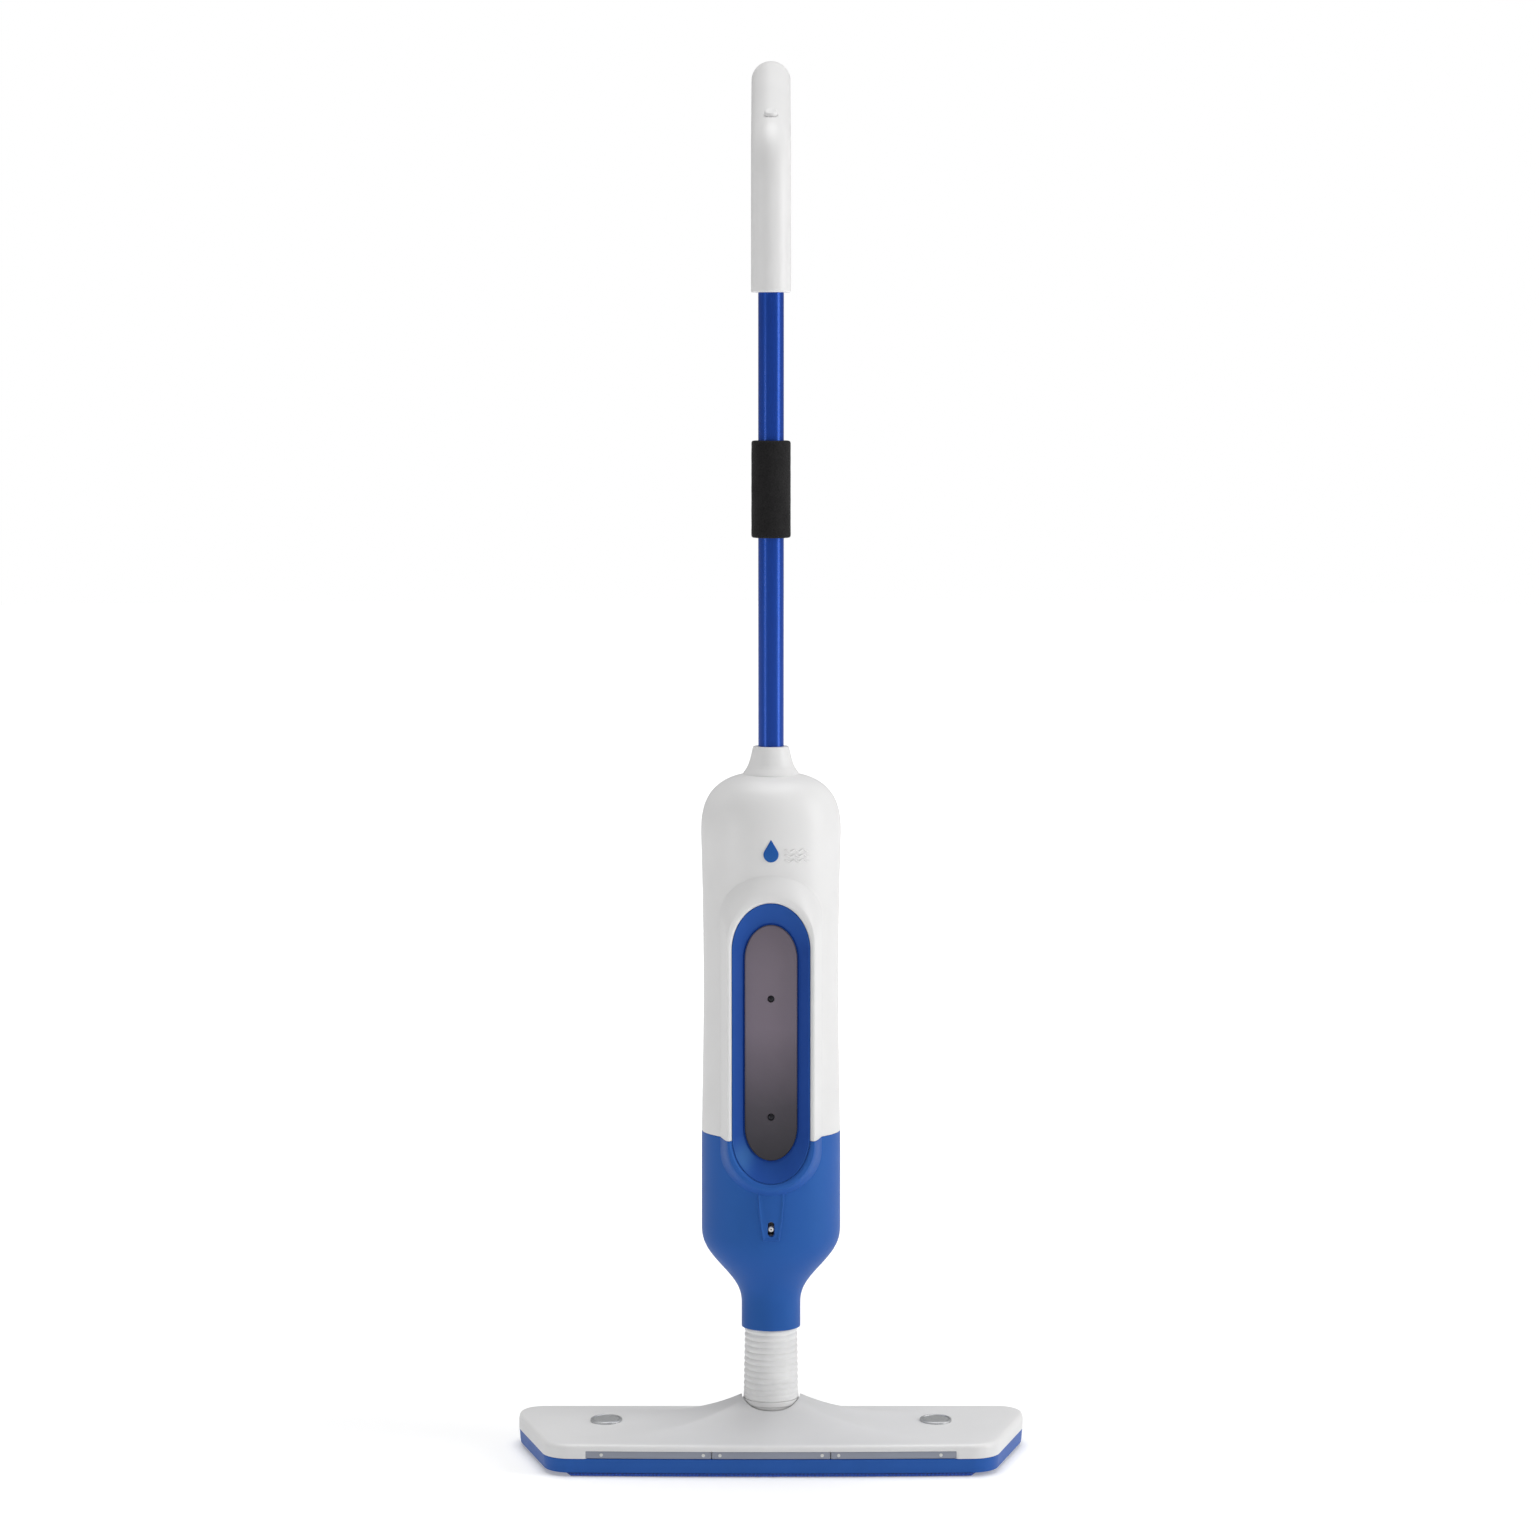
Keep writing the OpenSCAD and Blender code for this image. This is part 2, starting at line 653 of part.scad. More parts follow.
module pump_body() {
  color([0.92, 0.92, 0.9]) difference() {
    union() {
      translate([0, 0, pump_z]) cylinder(r = pump_r, h = pump_top - pump_z);
      translate([0, 0, pump_z]) cylinder(r = 18.5, h = 3);
      translate([15, 0, pump_z + 19]) rod_x(3, 12);
    }
    translate([0, 0, pump_z + 15]) cylinder(r = pump_bore, h = 100);
    translate([0, 0, pump_z - 1]) cylinder(r = 2.7, h = 8);
    translate([0, 0, pump_z]) cylinder(r = 1.5, h = 30);
    translate([0, 0, pump_z + 10]) cylinder(r = 5.2, h = 20);
    translate([15, 0, pump_z + 19]) rod_x(1.5, 20);
    pump_screw_places() translate([0, 0, -1]) cylinder(r = 1.3, h = 10);
  }
}

module pump_cap() { color(blue) pipe(pump_r, rod_r + running, pump_top + gap, pump_top + 4); }

module pump_spring() {
  color(steel) translate([0, 0, pump_z + 15.1]) spring(6.4, 0.7, piston_z - pump_z - 15.2, 6);
}

module inlet_valve() { color([0.15, 0.15, 0.16]) pipe(5, 0.8, pump_z + 10.2, pump_z + 12.6); }

module dip_tube() { color([0.9, 0.9, 0.88]) pipe(2.6, 1.7, tank_z[0] + 8, pump_z + 6.8); }

// Hose from the pump's side port, down beside the tank, to the nozzle block
hose_path = [[21.2, 0, 510], [25, 0, 510], [28.5, 0, 508], [31, 0, 504], [34, 0, 499.5], [39, 0, 496.5],
  [45, 0, 494], [49.5, 0, 489], [51.5, 0, 481], [52, 0, 470], [52, 0, 380], [52, 0, 290], [51, 0, 260],
  [47, -1, 240], [38, -5, 226], [25, -11, 216], [12, -17, 210], [4, -21, 208.3], [0.6, -24.5, nozzle_z],
  [0, -27.5, nozzle_z], [0, -29.8, nozzle_z]];

module outlet_hose() {
  color([0.85, 0.87, 0.88]) loft(swept(hose_path, 2.2, 10, [0.1, -0.9, 0.3]));
}

module collar() {
  color(white) rotate_extrude() polygon([[tube_r + gap, 574], [16.9, 574], [16.9, top_z + gap],
    [24.5, top_z + gap], [23.6, 598], [21, 602], [18.6, 608], [17, 614], [15.8, 619.4], [15, 620.6],
    [tube_r + gap, 620.6]]);
}

// ======== pole ========

module lower_tube() { color(blue) pipe(tube_r, tube_r - tube_wall, 575, joint_z - gap / 2); }

module upper_tube() { color(blue) pipe(tube_r, tube_r - tube_wall, joint_z + gap / 2, 1075); }

module tube_coupling() {
  color([0.3, 0.31, 0.34]) pipe(tube_r - tube_wall - 0.05, 6, joint_z - 38, joint_z + 38);
}

module foam_sleeve() {
  color([0.13, 0.13, 0.13]) pipe(foam_r, tube_r + gap, foam_z, foam_z + foam_len);
}

module rod_guides() {
  color(white) for (z = [600, 700, 930, 1060])
    pipe(tube_r - tube_wall - 0.05, rod_r + 0.1, z, z + 6);
}

module push_rod() {
  color(steel) {
    translate([0, 0, piston_z + 3.1]) cylinder(r = rod_r, h = nose_z - 3 - piston_z - 3.1);
    translate([0, 0, nose_z - 3]) cylinder(r = 6, h = 3);
  }
}

module piston() {
  color(white) difference() {
    translate([0, 0, piston_z]) cylinder(r = 8.2, h = 8);
    translate([0, 0, piston_z + 3]) cylinder(r = rod_r + 0.02, h = 10);
    translate([0, 0, piston_z + 3.5]) pipe(9, 7, 0, 2.4);
  }
}

module piston_seal() {
  color([0.15, 0.15, 0.16]) pipe(8.44, 7.1, piston_z + 3.6, piston_z + 5.8);
}

// ======== grip ========

// Point on the grip's skin: path point p, path direction a, radius r, angle u round the path
function skin(p, a, r, u) = [r * cos(u), p.x + r * sin(u) * sin(a), p.y - r * sin(u) * cos(a)];

// Stations along the grip: [path point, direction, outer radius, inner path point, inner radius]
grip_stations = concat(
  [for (q = [[0, tube_r + gap], [3, tube_r + gap], [3.2, grip_in], [bend_z - grip_z - 8, grip_in]])
    [[0, grip_z + q.x], 90, grip_r, [0, grip_z + q.x], q.y]],
  [for (i = [0:7]) let (a = bend_turn * i / 7, p = [bend_r * (1 - cos(a)), bend_z + bend_r * sin(a)])
    [p, 90 - a, grip_r, p, grip_in]],
  [for (i = [0:7]) let (a = 88 * i / 7, end = arm + arm_len * along)
    [end + grip_r * sin(a) * along, rise, grip_r * cos(a),
      end + grip_in * sin(a) * along, grip_in * cos(a)]]
);

// Front (-1) or rear (1) half of the grip's bent, hollow casing
module grip_half(side, n = 16) {
  from = side > 0 ? 0.3 : 180.3;
  step = 179.4 / n;
  count = 2 * n + 2;
  rings = [for (s = grip_stations) concat(
    [for (j = [0:n]) skin(s[0], s[1], s[2], from + j * step)],
    [for (j = [n:-1:0]) skin(s[3], s[1], s[4], from + j * step)])];
  last = (len(rings) - 1) * count;
  ends = [for (j = [0:n - 1]) let (a = j, b = j + 1, c = count - 2 - j, d = count - 1 - j)
    each [[a, b, c], [a, c, d], [last + c, last + b, last + a], [last + d, last + c, last + a]]];
  polyhedron(joined(rings),
    concat([for (i = [0:len(rings) - 2]) each band(i, i + 1, count)], ends), convexity = 8);
}

// Puts a child's +Z along the grip beyond the bend, with its front facing -Y
module along_arm() { translate([0, arm.x, arm.y]) rotate([-bend_turn, 0, 0]) children(); }

module grip_posts(side) {
  for (x = [-9, 9]) translate([x, 0, grip_screw_z])
    rod_y(3.2, side > 0 ? gap / 2 : -13.2, side > 0 ? 13.2 : -gap / 2);
  along_arm() for (s = arm_screw_s) translate([0, 0, s])
    rod_y(3.4, side > 0 ? gap / 2 : -15.5, side > 0 ? 15.5 : -gap / 2);
}

// Repeats a child at each grip screw, with the grip's front towards -Y
module grip_screw_places() {
  for (x = [-9, 9]) translate([x, 0, grip_screw_z]) children();
  along_arm() for (s = arm_screw_s) translate([0, 0, s]) children();
}

module grip_front_shell() {
  color(white) difference() {
    union() {
      grip_half(-1);
      grip_posts(-1);
    }
    grip_screw_places() rod_y(1.25, -9, 1);
    on_arm(button_s) {
      cylinder(r = button_r + 0.3, h = 40);
      translate([0, 0, grip_r - 1]) cylinder(r = 7.35, h = 20);
    }
  }
}

module grip_rear_shell() {
  color(white) difference() {
    union() {
      grip_half(1);
      grip_posts(1);
      for (s = [-1, 1]) translate([s * 9.2, pivot.x, pivot.y]) rod_x(4.2, 8.4);
    }
    grip_screw_places() {
      rod_y(1.5, -1, 30);
      rod_y(2.7, 7, 30);
    }
    translate([0, pivot.x, pivot.y]) rod_x(2.02, 25.4);
  }
}

module grip_screws() {
  color(steel) grip_screw_places() translate([0, 8.6, 0]) rotate([-90, 0, 0]) screw(2.4, 1.6, 1.2, 15);
}

module lever_pin() { color(steel) translate([0, pivot.x, pivot.y]) rod_x(2, 25); }

module lever() {
  run = [pivot.x - 1, pivot.y - nose_z - 2.9];
  color([0.3, 0.31, 0.34]) difference() {
    union() {
      translate([0, pivot.x, pivot.y]) rod_x(4.2, 9.2);
      translate([0, 1, nose_z + 2.9]) rod_x(2.6, 8);
      translate([-4, 1, nose_z + 2.9]) rotate([atan2(run.y, run.x), 0, 0])
        translate([0, 0, lever_top - lever_t]) cube([8, norm(run), lever_t]);
    }
    translate([0, pivot.x, pivot.y]) rod_x(2 + running, 20);
  }
}

module thumb_button() {
  color(white) on_arm(button_s) {
    translate([0, 0, 10.7]) cylinder(r = button_r, h = 8.7);
    translate([0, 0, 19.4]) cylinder(r1 = button_r, r2 = button_r - 0.8, h = 0.8);
    translate([0, 0, 10.7]) cylinder(r = 7.2, h = 1.6);
    translate([0, 0, -2.9]) cylinder(r = 3.5, h = 14);
  }
}

module button_guide() {
  color(white) on_arm(button_s) difference() {
    translate([-14.2, -6, 1]) cube([28.4, 12, 2]);
    cylinder(r = 3.8, h = 10);
  }
}

module button_spring() {
  color(steel) on_arm(button_s) translate([0, 0, 3.05]) spring(5, 0.45, 7.6, 3);
}

mop_pad();
hook_strips();
head_base();
head_cover();
head_screws();
strip(-strip_half, -strip_split);  // strip_left
strip(-strip_split, strip_split);  // strip_middle
strip(strip_split, strip_half);  // strip_right
strip_pegs();
head_badges();
pitch_pin();
knuckle();
boot_ring();
boot();
roll_pin();
neck_yoke();
yoke_screws();
lower_shell();
upper_front_shell();
upper_rear_shell();
shell_screws();
window_bowl();
window();
window_screws();
drop_emblem();
tank();
filler_seal();
filler_cap();
pump_bracket();
pump_screws();
pump_body();
pump_cap();
pump_spring();
inlet_valve();
dip_tube();
outlet_hose();
nozzle_cover();
nozzle_block();
nozzle();
collar();
lower_tube();
tube_coupling();
upper_tube();
foam_sleeve();
rod_guides();
push_rod();
piston();
piston_seal();
grip_front_shell();
grip_rear_shell();
grip_screws();
button_guide();
button_spring();
thumb_button();
lever();
lever_pin();
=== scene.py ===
"""Flat spray mop: the detailed look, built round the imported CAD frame.

Sizes and places are in millimetres, and become metres where a mesh is made.
+X is to the right as the nozzle faces the viewer, +Y points to the rear, +Z is up.
"""

import json
import math

import bmesh
import bpy
import numpy as np
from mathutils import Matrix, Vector, noise


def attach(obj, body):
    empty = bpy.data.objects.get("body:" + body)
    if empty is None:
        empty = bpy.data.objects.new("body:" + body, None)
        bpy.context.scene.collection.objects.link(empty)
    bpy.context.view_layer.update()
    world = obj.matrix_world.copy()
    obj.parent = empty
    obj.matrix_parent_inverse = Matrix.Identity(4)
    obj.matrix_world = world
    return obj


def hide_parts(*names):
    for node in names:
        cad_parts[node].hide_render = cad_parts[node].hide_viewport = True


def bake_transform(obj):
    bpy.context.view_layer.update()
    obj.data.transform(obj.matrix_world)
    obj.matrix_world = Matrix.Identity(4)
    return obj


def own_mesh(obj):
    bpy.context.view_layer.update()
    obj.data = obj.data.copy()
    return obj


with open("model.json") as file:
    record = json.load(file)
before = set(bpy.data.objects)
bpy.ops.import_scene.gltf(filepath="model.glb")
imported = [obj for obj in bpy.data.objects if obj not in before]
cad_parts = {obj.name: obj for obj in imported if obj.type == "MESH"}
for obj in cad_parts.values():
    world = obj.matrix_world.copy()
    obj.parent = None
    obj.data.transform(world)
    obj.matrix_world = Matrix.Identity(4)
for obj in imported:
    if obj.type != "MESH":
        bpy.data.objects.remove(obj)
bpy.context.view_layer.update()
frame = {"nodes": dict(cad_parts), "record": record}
MM = 0.001
MERGE = 0.004               # points closer than this become one

# ---- head ----
HEAD_HALF = 222.0
HEAD_FRONT = 88.0
HEAD_REAR = 58.0
HEAD_LEAN = 16.0            # degrees by which the sides lean in towards the front
FRONT_R = 26.0
REAR_R = 22.0
SIDE_R = 40.0               # the sides turn upright with this radius, in front of the rear corners
FRONT_BOW = 3.3
REAR_C = (HEAD_HALF - REAR_R, HEAD_REAR - REAR_R)
SIDE_C = (HEAD_HALF - SIDE_R, REAR_C[1] - 7.1)
BASE_TOP = 15.5
COVER_EDGE = 27.8
CROWN_R = 26.5
CROWN_FRONT = 42.5
CROWN_SIDE = 51.5
CUP_R = 25.4                # cup round the boot's ring, and half the rear slot's width
CUP_FLOOR = 16.7
STRIP_HALF = 160.2
STRIP_SPLIT = 50.9
STRIP_TOP = 22.2
PEG_X = (-145.4, -57.9, -43.7, 43.7, 57.9, 145.4)
PEG_Z = (BASE_TOP + STRIP_TOP) / 2
PAD_HALF = 172.0
BADGE = (144.0, -2.0, 29.6)

# ---- neck ----
RING_R = 24.5
RING_Z = 44.6
BOOT_Z = 49.8
BOOT_TOP = 117.0
RIB_PITCH = 5.35

# ---- housing ----
NECK_Z = 113.0
NECK_R = 25.6
SEAM_Z = 286.0
WAIST = 58.5
DEEP = 0.867
SHELL = 1.8                 # wall drawn in the shells
DOME_Z = 545.0
DOME_H = 53.5
DOME_POWER = 2.7
TOP_Z = 596.0
DOME_END = 597.5             # the dome's skin runs on under the collar's skirt
LIP_Y = -59.0
WINDOW_Y = -47.5
CREASE = (43.9, 237.4, 514.0, 36.5)     # half-width, lowest, highest, height of the round ends
RIM_TOP = (37.2, 243.8, 497.0, 39.0)
OPENING = (33.7, 248.0, 491.0, 40.6)
PANE = (22.5, 267.0, 471.0, 29.7)
WINDOW_SCREWS = (305.0, 407.3)
DROP_Z = 532.0
DROP_R = 6.5
FILLER_Z = 455.0
NOZZLE_Z = 208.0
NOZZLE_HINGE_Y = -43.0
TONGUE = (197.6, 243.6)      # foot and top of the nozzle's cover plate

# ---- pole and grip ----
TUBE_R = 11.0
TUBE_WALL = 0.8
TUBE_JOINT = 841.75
FOAM_R = 17.0
FOAM = (800.0, 883.5)
GRIP_R = 17.2
GRIP_IN = 14.8
GRIP_Z = 1009.5
BEND_Z = 1107.0
BEND_R = 38.0
BEND_TURN = math.radians(62)
ARM_LEN = 119.6
BUTTON_S = 14.0
BUTTON_R = 5.9
ARM_RISE = math.pi / 2 - BEND_TURN
ARM_OUT = Vector((0, -math.sin(ARM_RISE), math.cos(ARM_RISE)))


# ======== shape helpers ========


def ease(t):
    t = np.clip(t, 0, 1)
    return t * t * (3 - 2 * t)


def mix(a, b, t):
    return a + (b - a) * t


class Shape:
    """Gathers the points and faces of one piece."""

    def __init__(self):
        self.points = []
        self.faces = []

    def add(self, points, faces):
        start = len(self.points)
        self.points.extend(tuple(map(float, p)) for p in points)
        self.faces.extend(tuple(start + i for i in f) for f in faces)

    def grid(self, rows, around=False, along=False):
        """Quads over rows of points; around joins a row's ends, along joins the last row to the first."""
        rows = np.asarray(rows, float)
        m, n = rows.shape[:2]
        faces = []
        for i in range(m if along else m - 1):
            for j in range(n if around else n - 1):
                i2, j2 = (i + 1) % m, (j + 1) % n
                faces.append((i * n + j, i * n + j2, i2 * n + j2, i2 * n + j))
        self.add(rows.reshape(-1, 3), faces)

    def fan(self, ring):
        """Closes a ring with triangles from its centre."""
        ring = np.asarray(ring, float)
        n = len(ring)
        self.add([*ring, ring.mean(0)], [(j, (j + 1) % n, n) for j in range(n)])

    def stack(self, rings):
        """Closed solid through a stack of rings."""
        self.grid(rings, around=True)
        self.fan(rings[0])
        self.fan(rings[-1])

    def build(self, name, sharp=38.0):
        """Makes the object: joins points that meet, turns faces outwards, keeps edges over sharp degrees."""
        mesh = bpy.data.meshes.new(name)
        mesh.from_pydata([tuple(c * MM for c in p) for p in self.points], [], self.faces)
        work = bmesh.new()
        work.from_mesh(mesh)
        bmesh.ops.remove_doubles(work, verts=work.verts, dist=MERGE * MM)
        bmesh.ops.dissolve_degenerate(work, dist=MERGE * MM / 2, edges=work.edges)
        bare = [edge for edge in work.edges if not edge.link_faces]
        bmesh.ops.delete(work, geom=bare, context="EDGES")
        bmesh.ops.recalc_face_normals(work, faces=work.faces)
        work.to_mesh(mesh)
        work.free()
        obj = bpy.data.objects.new(name, mesh)
        bpy.context.scene.collection.objects.link(obj)
        soften(obj, sharp)
        return obj


def solid(name, rings, sharp=38.0):
    """Closed piece through a stack of rings."""
    shape = Shape()
    shape.stack(rings)
    return shape.build(name, sharp)


def looped(name, rings, sharp=38.0):
    """Closed piece whose last ring joins its first."""
    shape = Shape()
    shape.grid(rings, around=True, along=True)
    return shape.build(name, sharp)


def between(a, b, t):
    """Numbers a share t of the way from those of a to those of b."""
    return [mix(x, y, t) for x, y in zip(a, b)]


def soften(obj, sharp):
    obj.data.polygons.foreach_set("use_smooth", [True] * len(obj.data.polygons))
    obj.data.set_sharp_from_angle(angle=math.radians(sharp))


def rounded(corners, radius, steps=3, sharp=()):
    """A closed flat outline with its corners rounded, apart from those whose numbers are in sharp."""
    corners = [np.array(c, float) for c in corners]
    count = len(corners)
    out = []
    for i, c in enumerate(corners):
        if i in sharp:
            out.append(c)
            continue
        before, after = corners[i - 1], corners[(i + 1) % count]
        d0, d1 = np.linalg.norm(before - c), np.linalg.norm(after - c)
        cut = min(radius, 0.45 * d0, 0.45 * d1)
        p0, p1 = c + (before - c) * cut / d0, c + (after - c) * cut / d1
        for k in range(steps + 1):
            t = k / steps
            out.append(p0 * (1 - t) ** 2 + 2 * c * t * (1 - t) + p1 * t * t)
    return out


def turned(profile, n=96):
    """Rings of a solid of revolution about Z, from [radius, height] points."""
    angle = np.arange(n) * 2 * math.pi / n
    return [[(r * c, r * s, h) for c, s in zip(np.cos(angle), np.sin(angle))] for r, h in profile]


def placed(rings, origin, up, front=(0, -1, 0)):
    """Moves rings so that their +Z points along up, from origin."""
    z = Vector(up).normalized()
    x = Vector(front).cross(z)
    x = x.normalized() if x.length > 1e-6 else Vector((1, 0, 0))
    y = z.cross(x)
    basis = np.array([x, y, z])
    return np.asarray(rings, float) @ basis + np.array(origin, float)


def lathe(shape, corners, radius=0.5, origin=(0, 0, 0), up=(0, 0, 1), n=96, steps=3):
    """Adds a solid of revolution with a rounded, closed profile of [radius, height] corners."""
    on_axis = [i for i, corner in enumerate(corners) if corner[0] < 0.01]
    profile = rounded(corners, radius, steps, on_axis)
    shape.grid(placed(turned(profile, n), origin, up), around=True, along=True)


def inset(outline, d):
    """Draws a flat closed outline in by d."""
    p = np.asarray(outline, float)
    ahead, behind = np.roll(p, -1, 0) - p, p - np.roll(p, 1, 0)
    ahead /= np.linalg.norm(ahead, axis=1)[:, None]
    behind /= np.linalg.norm(behind, axis=1)[:, None]
    normal = np.stack([-(ahead + behind)[:, 1], (ahead + behind)[:, 0]], 1)
    normal /= np.linalg.norm(normal, axis=1)[:, None]
    turn = np.clip((normal * np.stack([-ahead[:, 1], ahead[:, 0]], 1)).sum(1), 0.3, 1)
    area = (p[:, 0] * np.roll(p[:, 1], -1) - np.roll(p[:, 0], -1) * p[:, 1]).sum()
    return p + normal * (d if area > 0 else -d) / turn[:, None]


def levelled(outline, levels):
    """Rings of a flat outline, drawn in by d at height z for each (d, z) of levels."""
    return [[(x, y, z) for x, y in inset(outline, d)] for d, z in levels]


def plate_rings(outline, low, high, edge):
    """Rings of a flat plate between two heights with its edges rounded by edge."""
    levels = [(edge, low), (edge * 0.3, low + edge * 0.3), (0, low + edge)]
    levels += [(0, high - edge), (edge * 0.3, high - edge * 0.3), (edge, high)]
    return levelled(outline, levels)


def swept(path, radius, n=12):
    """Rings of a tube along a path; radius may be a list."""
    path = np.asarray(path, float)
    radii = np.broadcast_to(radius, len(path))
    rings = []
    side = None
    for i, p in enumerate(path):
        t = path[min(i + 1, len(path) - 1)] - path[max(i - 1, 0)]
        t /= np.linalg.norm(t)
        if side is None:
            side = np.cross(t, (0, 0, 1) if abs(t[2]) < 0.9 else (1, 0, 0))
        side = side - t * (side @ t)
        side /= np.linalg.norm(side)
        other = np.cross(t, side)
        rings.append([p + radii[i] * (math.cos(a) * side + math.sin(a) * other)
                      for a in np.arange(n) * 2 * math.pi / n])
    return rings


def slot_at(outline, across):
    """Point on a slot outline: across is 0..1 up the left, 1..2 over the top, 2..3 down the right and
    3..4 round the bottom."""
    w, low, high, end = outline
    top, bottom = high - end, low + end
    part = int(across)
    t = across - part
    if part == 0:
        return -w, mix(bottom, top, t)
    if part == 1:
        return -w * math.cos(math.pi * t), top + end * math.sin(math.pi * t)
    if part == 2:
        return w, mix(top, bottom, t)
    return w * math.cos(math.pi * t), bottom - end * math.sin(math.pi * t)


def slot_ring(outline, y, grow=0.0, sides=10, arch=40):
    """Closed ring of a slot outline standing in the plane y."""
    w, low, high, end = outline
    grown = (w + grow, low - grow, high + grow, end + grow)
    steps = [np.linspace(k, k + 1, sides if k % 2 == 0 else arch, endpoint=False) for k in range(4)]
    return [(x, y, z) for x, z in (slot_at(grown, s) for s in np.concatenate(steps))]


def mesh_of(obj):
    """Applies an object's modifiers."""
    depsgraph = bpy.context.evaluated_depsgraph_get()
    baked = bpy.data.meshes.new_from_object(obj.evaluated_get(depsgraph))
    obj.modifiers.clear()
    obj.data = baked


def thicken(obj):
    """Gives an open skin the shells' wall, inwards, and rounds the wall's edges."""
    wall = obj.modifiers.new("wall", "SOLIDIFY")
    wall.thickness = SHELL * MM
    wall.offset = -1
    wall.use_even_offset = True
    wall.thickness_clamp = 1.0
    bevel = obj.modifiers.new("edge", "BEVEL")
    bevel.width = 0.35 * MM
    bevel.segments = 2
    bevel.limit_method = "ANGLE"
    bevel.angle_limit = math.radians(60)
    mesh_of(obj)


def carve(obj, cutters, sharp=38.0, solver="EXACT"):
    """Cuts solids out of a piece and removes the solids."""
    for cutter in cutters:
        cut = obj.modifiers.new("cut", "BOOLEAN")
        cut.operation = "DIFFERENCE"
        cut.object = cutter
        cut.solver = solver
    mesh_of(obj)
    for cutter in cutters:
        bpy.data.objects.remove(cutter)
    work = bmesh.new()
    work.from_mesh(obj.data)
    bmesh.ops.holes_fill(work, edges=[edge for edge in work.edges if edge.is_boundary], sides=6)
    work.to_mesh(obj.data)
    work.free()
    soften(obj, sharp)


def rod_cutter(radius, start, end):
    way = Vector(end) - Vector(start)
    rings = turned([(radius, 0), (radius, way.length)], 48)
    return solid("cutter", placed(rings, start, way, (1, 0, 0)))


def outward(obj):
    """Turns an open skin's faces away from the upright axis."""
    total = 0.0
    for face in obj.data.polygons:
        total += face.normal.dot(Vector((face.center.x, face.center.y, 0))) * face.area
    if total < 0:
        obj.data.flip_normals()


# ======== materials ========


def wire(tree, a, a_name, b, b_name):
    tree.links.new(a.outputs[a_name], b.inputs[b_name])


def settle(owner, **values):
    """Sets input sockets by their names, with _ for each space."""
    for key, value in values.items():
        owner.inputs[key.replace("_", " ")].default_value = value


def node(tree, kind, operation=None, **values):
    """Adds a node and sets its input sockets."""
    made = tree.nodes.new(kind)
    if operation:
        made.operation = operation
    settle(made, **values)
    return made


def in_place(tree, kind, **values):
    """Adds a node that reads the piece's own coordinates, in metres."""
    made = node(tree, kind, **values)
    wire(tree, node(tree, "ShaderNodeTexCoord"), "Object", made, "Vector")
    return made


def new_material(name):
    material = bpy.data.materials.new(name)
    material.use_nodes = True
    tree = material.node_tree
    shader = next(n for n in tree.nodes if n.type == "BSDF_PRINCIPLED")
    return material, tree, shader


def spot_noise(tree, scale, detail=3.0, rough=0.5, stretch=None):
    """Noise in the piece's own coordinates, per metre."""
    place = node(tree, "ShaderNodeTexCoord")
    made = node(tree, "ShaderNodeTexNoise", Scale=scale, Detail=detail, Roughness=rough)
    if stretch:
        mapping = node(tree, "ShaderNodeMapping", Scale=stretch)
        wire(tree, place, "Object", mapping, "Vector")
        wire(tree, mapping, "Vector", made, "Vector")
    else:
        wire(tree, place, "Object", made, "Vector")
    return made


def tint(tree, shader, source, first, last, low=0.35, high=0.65, output="Fac"):
    """Colours the shader from first to last as a texture's value goes from low to high."""
    ramp = node(tree, "ShaderNodeValToRGB")
    for element, position, colour in zip(ramp.color_ramp.elements, (low, high), (first, last)):
        element.position = position
        element.color = (*colour, 1)
    wire(tree, source, output, ramp, "Fac")
    wire(tree, ramp, "Color", shader, "Base Color")


def vary(tree, shader, source, low, high):
    """Varies the shader's roughness between low and high by a noise."""
    spread = node(tree, "ShaderNodeMapRange", From_Min=0.3, From_Max=0.7, To_Min=low, To_Max=high)
    wire(tree, source, "Fac", spread, "Value")
    wire(tree, spread, "Result", shader, "Roughness")


def relief(tree, shader, source, strength, depth, output="Fac"):
    bump = node(tree, "ShaderNodeBump", Strength=strength, Distance=depth * MM)
    wire(tree, source, output, bump, "Height")
    wire(tree, bump, "Normal", shader, "Normal")


def shade(colour, factor):
    return tuple(min(1.0, c * factor) for c in colour)


def moulded(name, colour, rough=0.45, depth=0.03, coat=0.0, spread=0.05, specular=0.5, gloss=(1, 1, 1)):
    """Moulded plastic: a fine spark-eroded grain, faint tone changes and uneven gloss."""
    material, tree, shader = new_material(name)
    cloud = spot_noise(tree, 22.0, 4.0)
    tint(tree, shader, cloud, shade(colour, 1 - spread), shade(colour, 1 + spread * 0.5))
    fine = spot_noise(tree, 2600.0, 2.0, 0.6)
    vary(tree, shader, fine, rough - 0.06, rough + 0.06)
    relief(tree, shader, fine, 0.35, depth)
    settle(shader, Specular_IOR_Level=specular, Specular_Tint=(*gloss, 1))
    settle(shader, Coat_Weight=coat, Coat_Roughness=0.12)
    return material


def painted_tube(name, colour, gloss):
    """Metallic paint on drawn tube: fine flakes under a clear coat."""
    material, tree, shader = new_material(name)
    flakes = spot_noise(tree, 5200.0, 2.0, 0.7)
    tint(tree, shader, flakes, shade(colour, 0.82), shade(colour, 1.15))
    drawn = spot_noise(tree, 260.0, 3.0, 0.5, (1, 1, 0.02))
    vary(tree, shader, drawn, 0.26, 0.36)
    relief(tree, shader, drawn, 0.12, 0.01)
    settle(shader, Metallic=0.35, Specular_Tint=(*gloss, 1), Coat_Weight=0.12, Coat_Roughness=0.1)
    return material


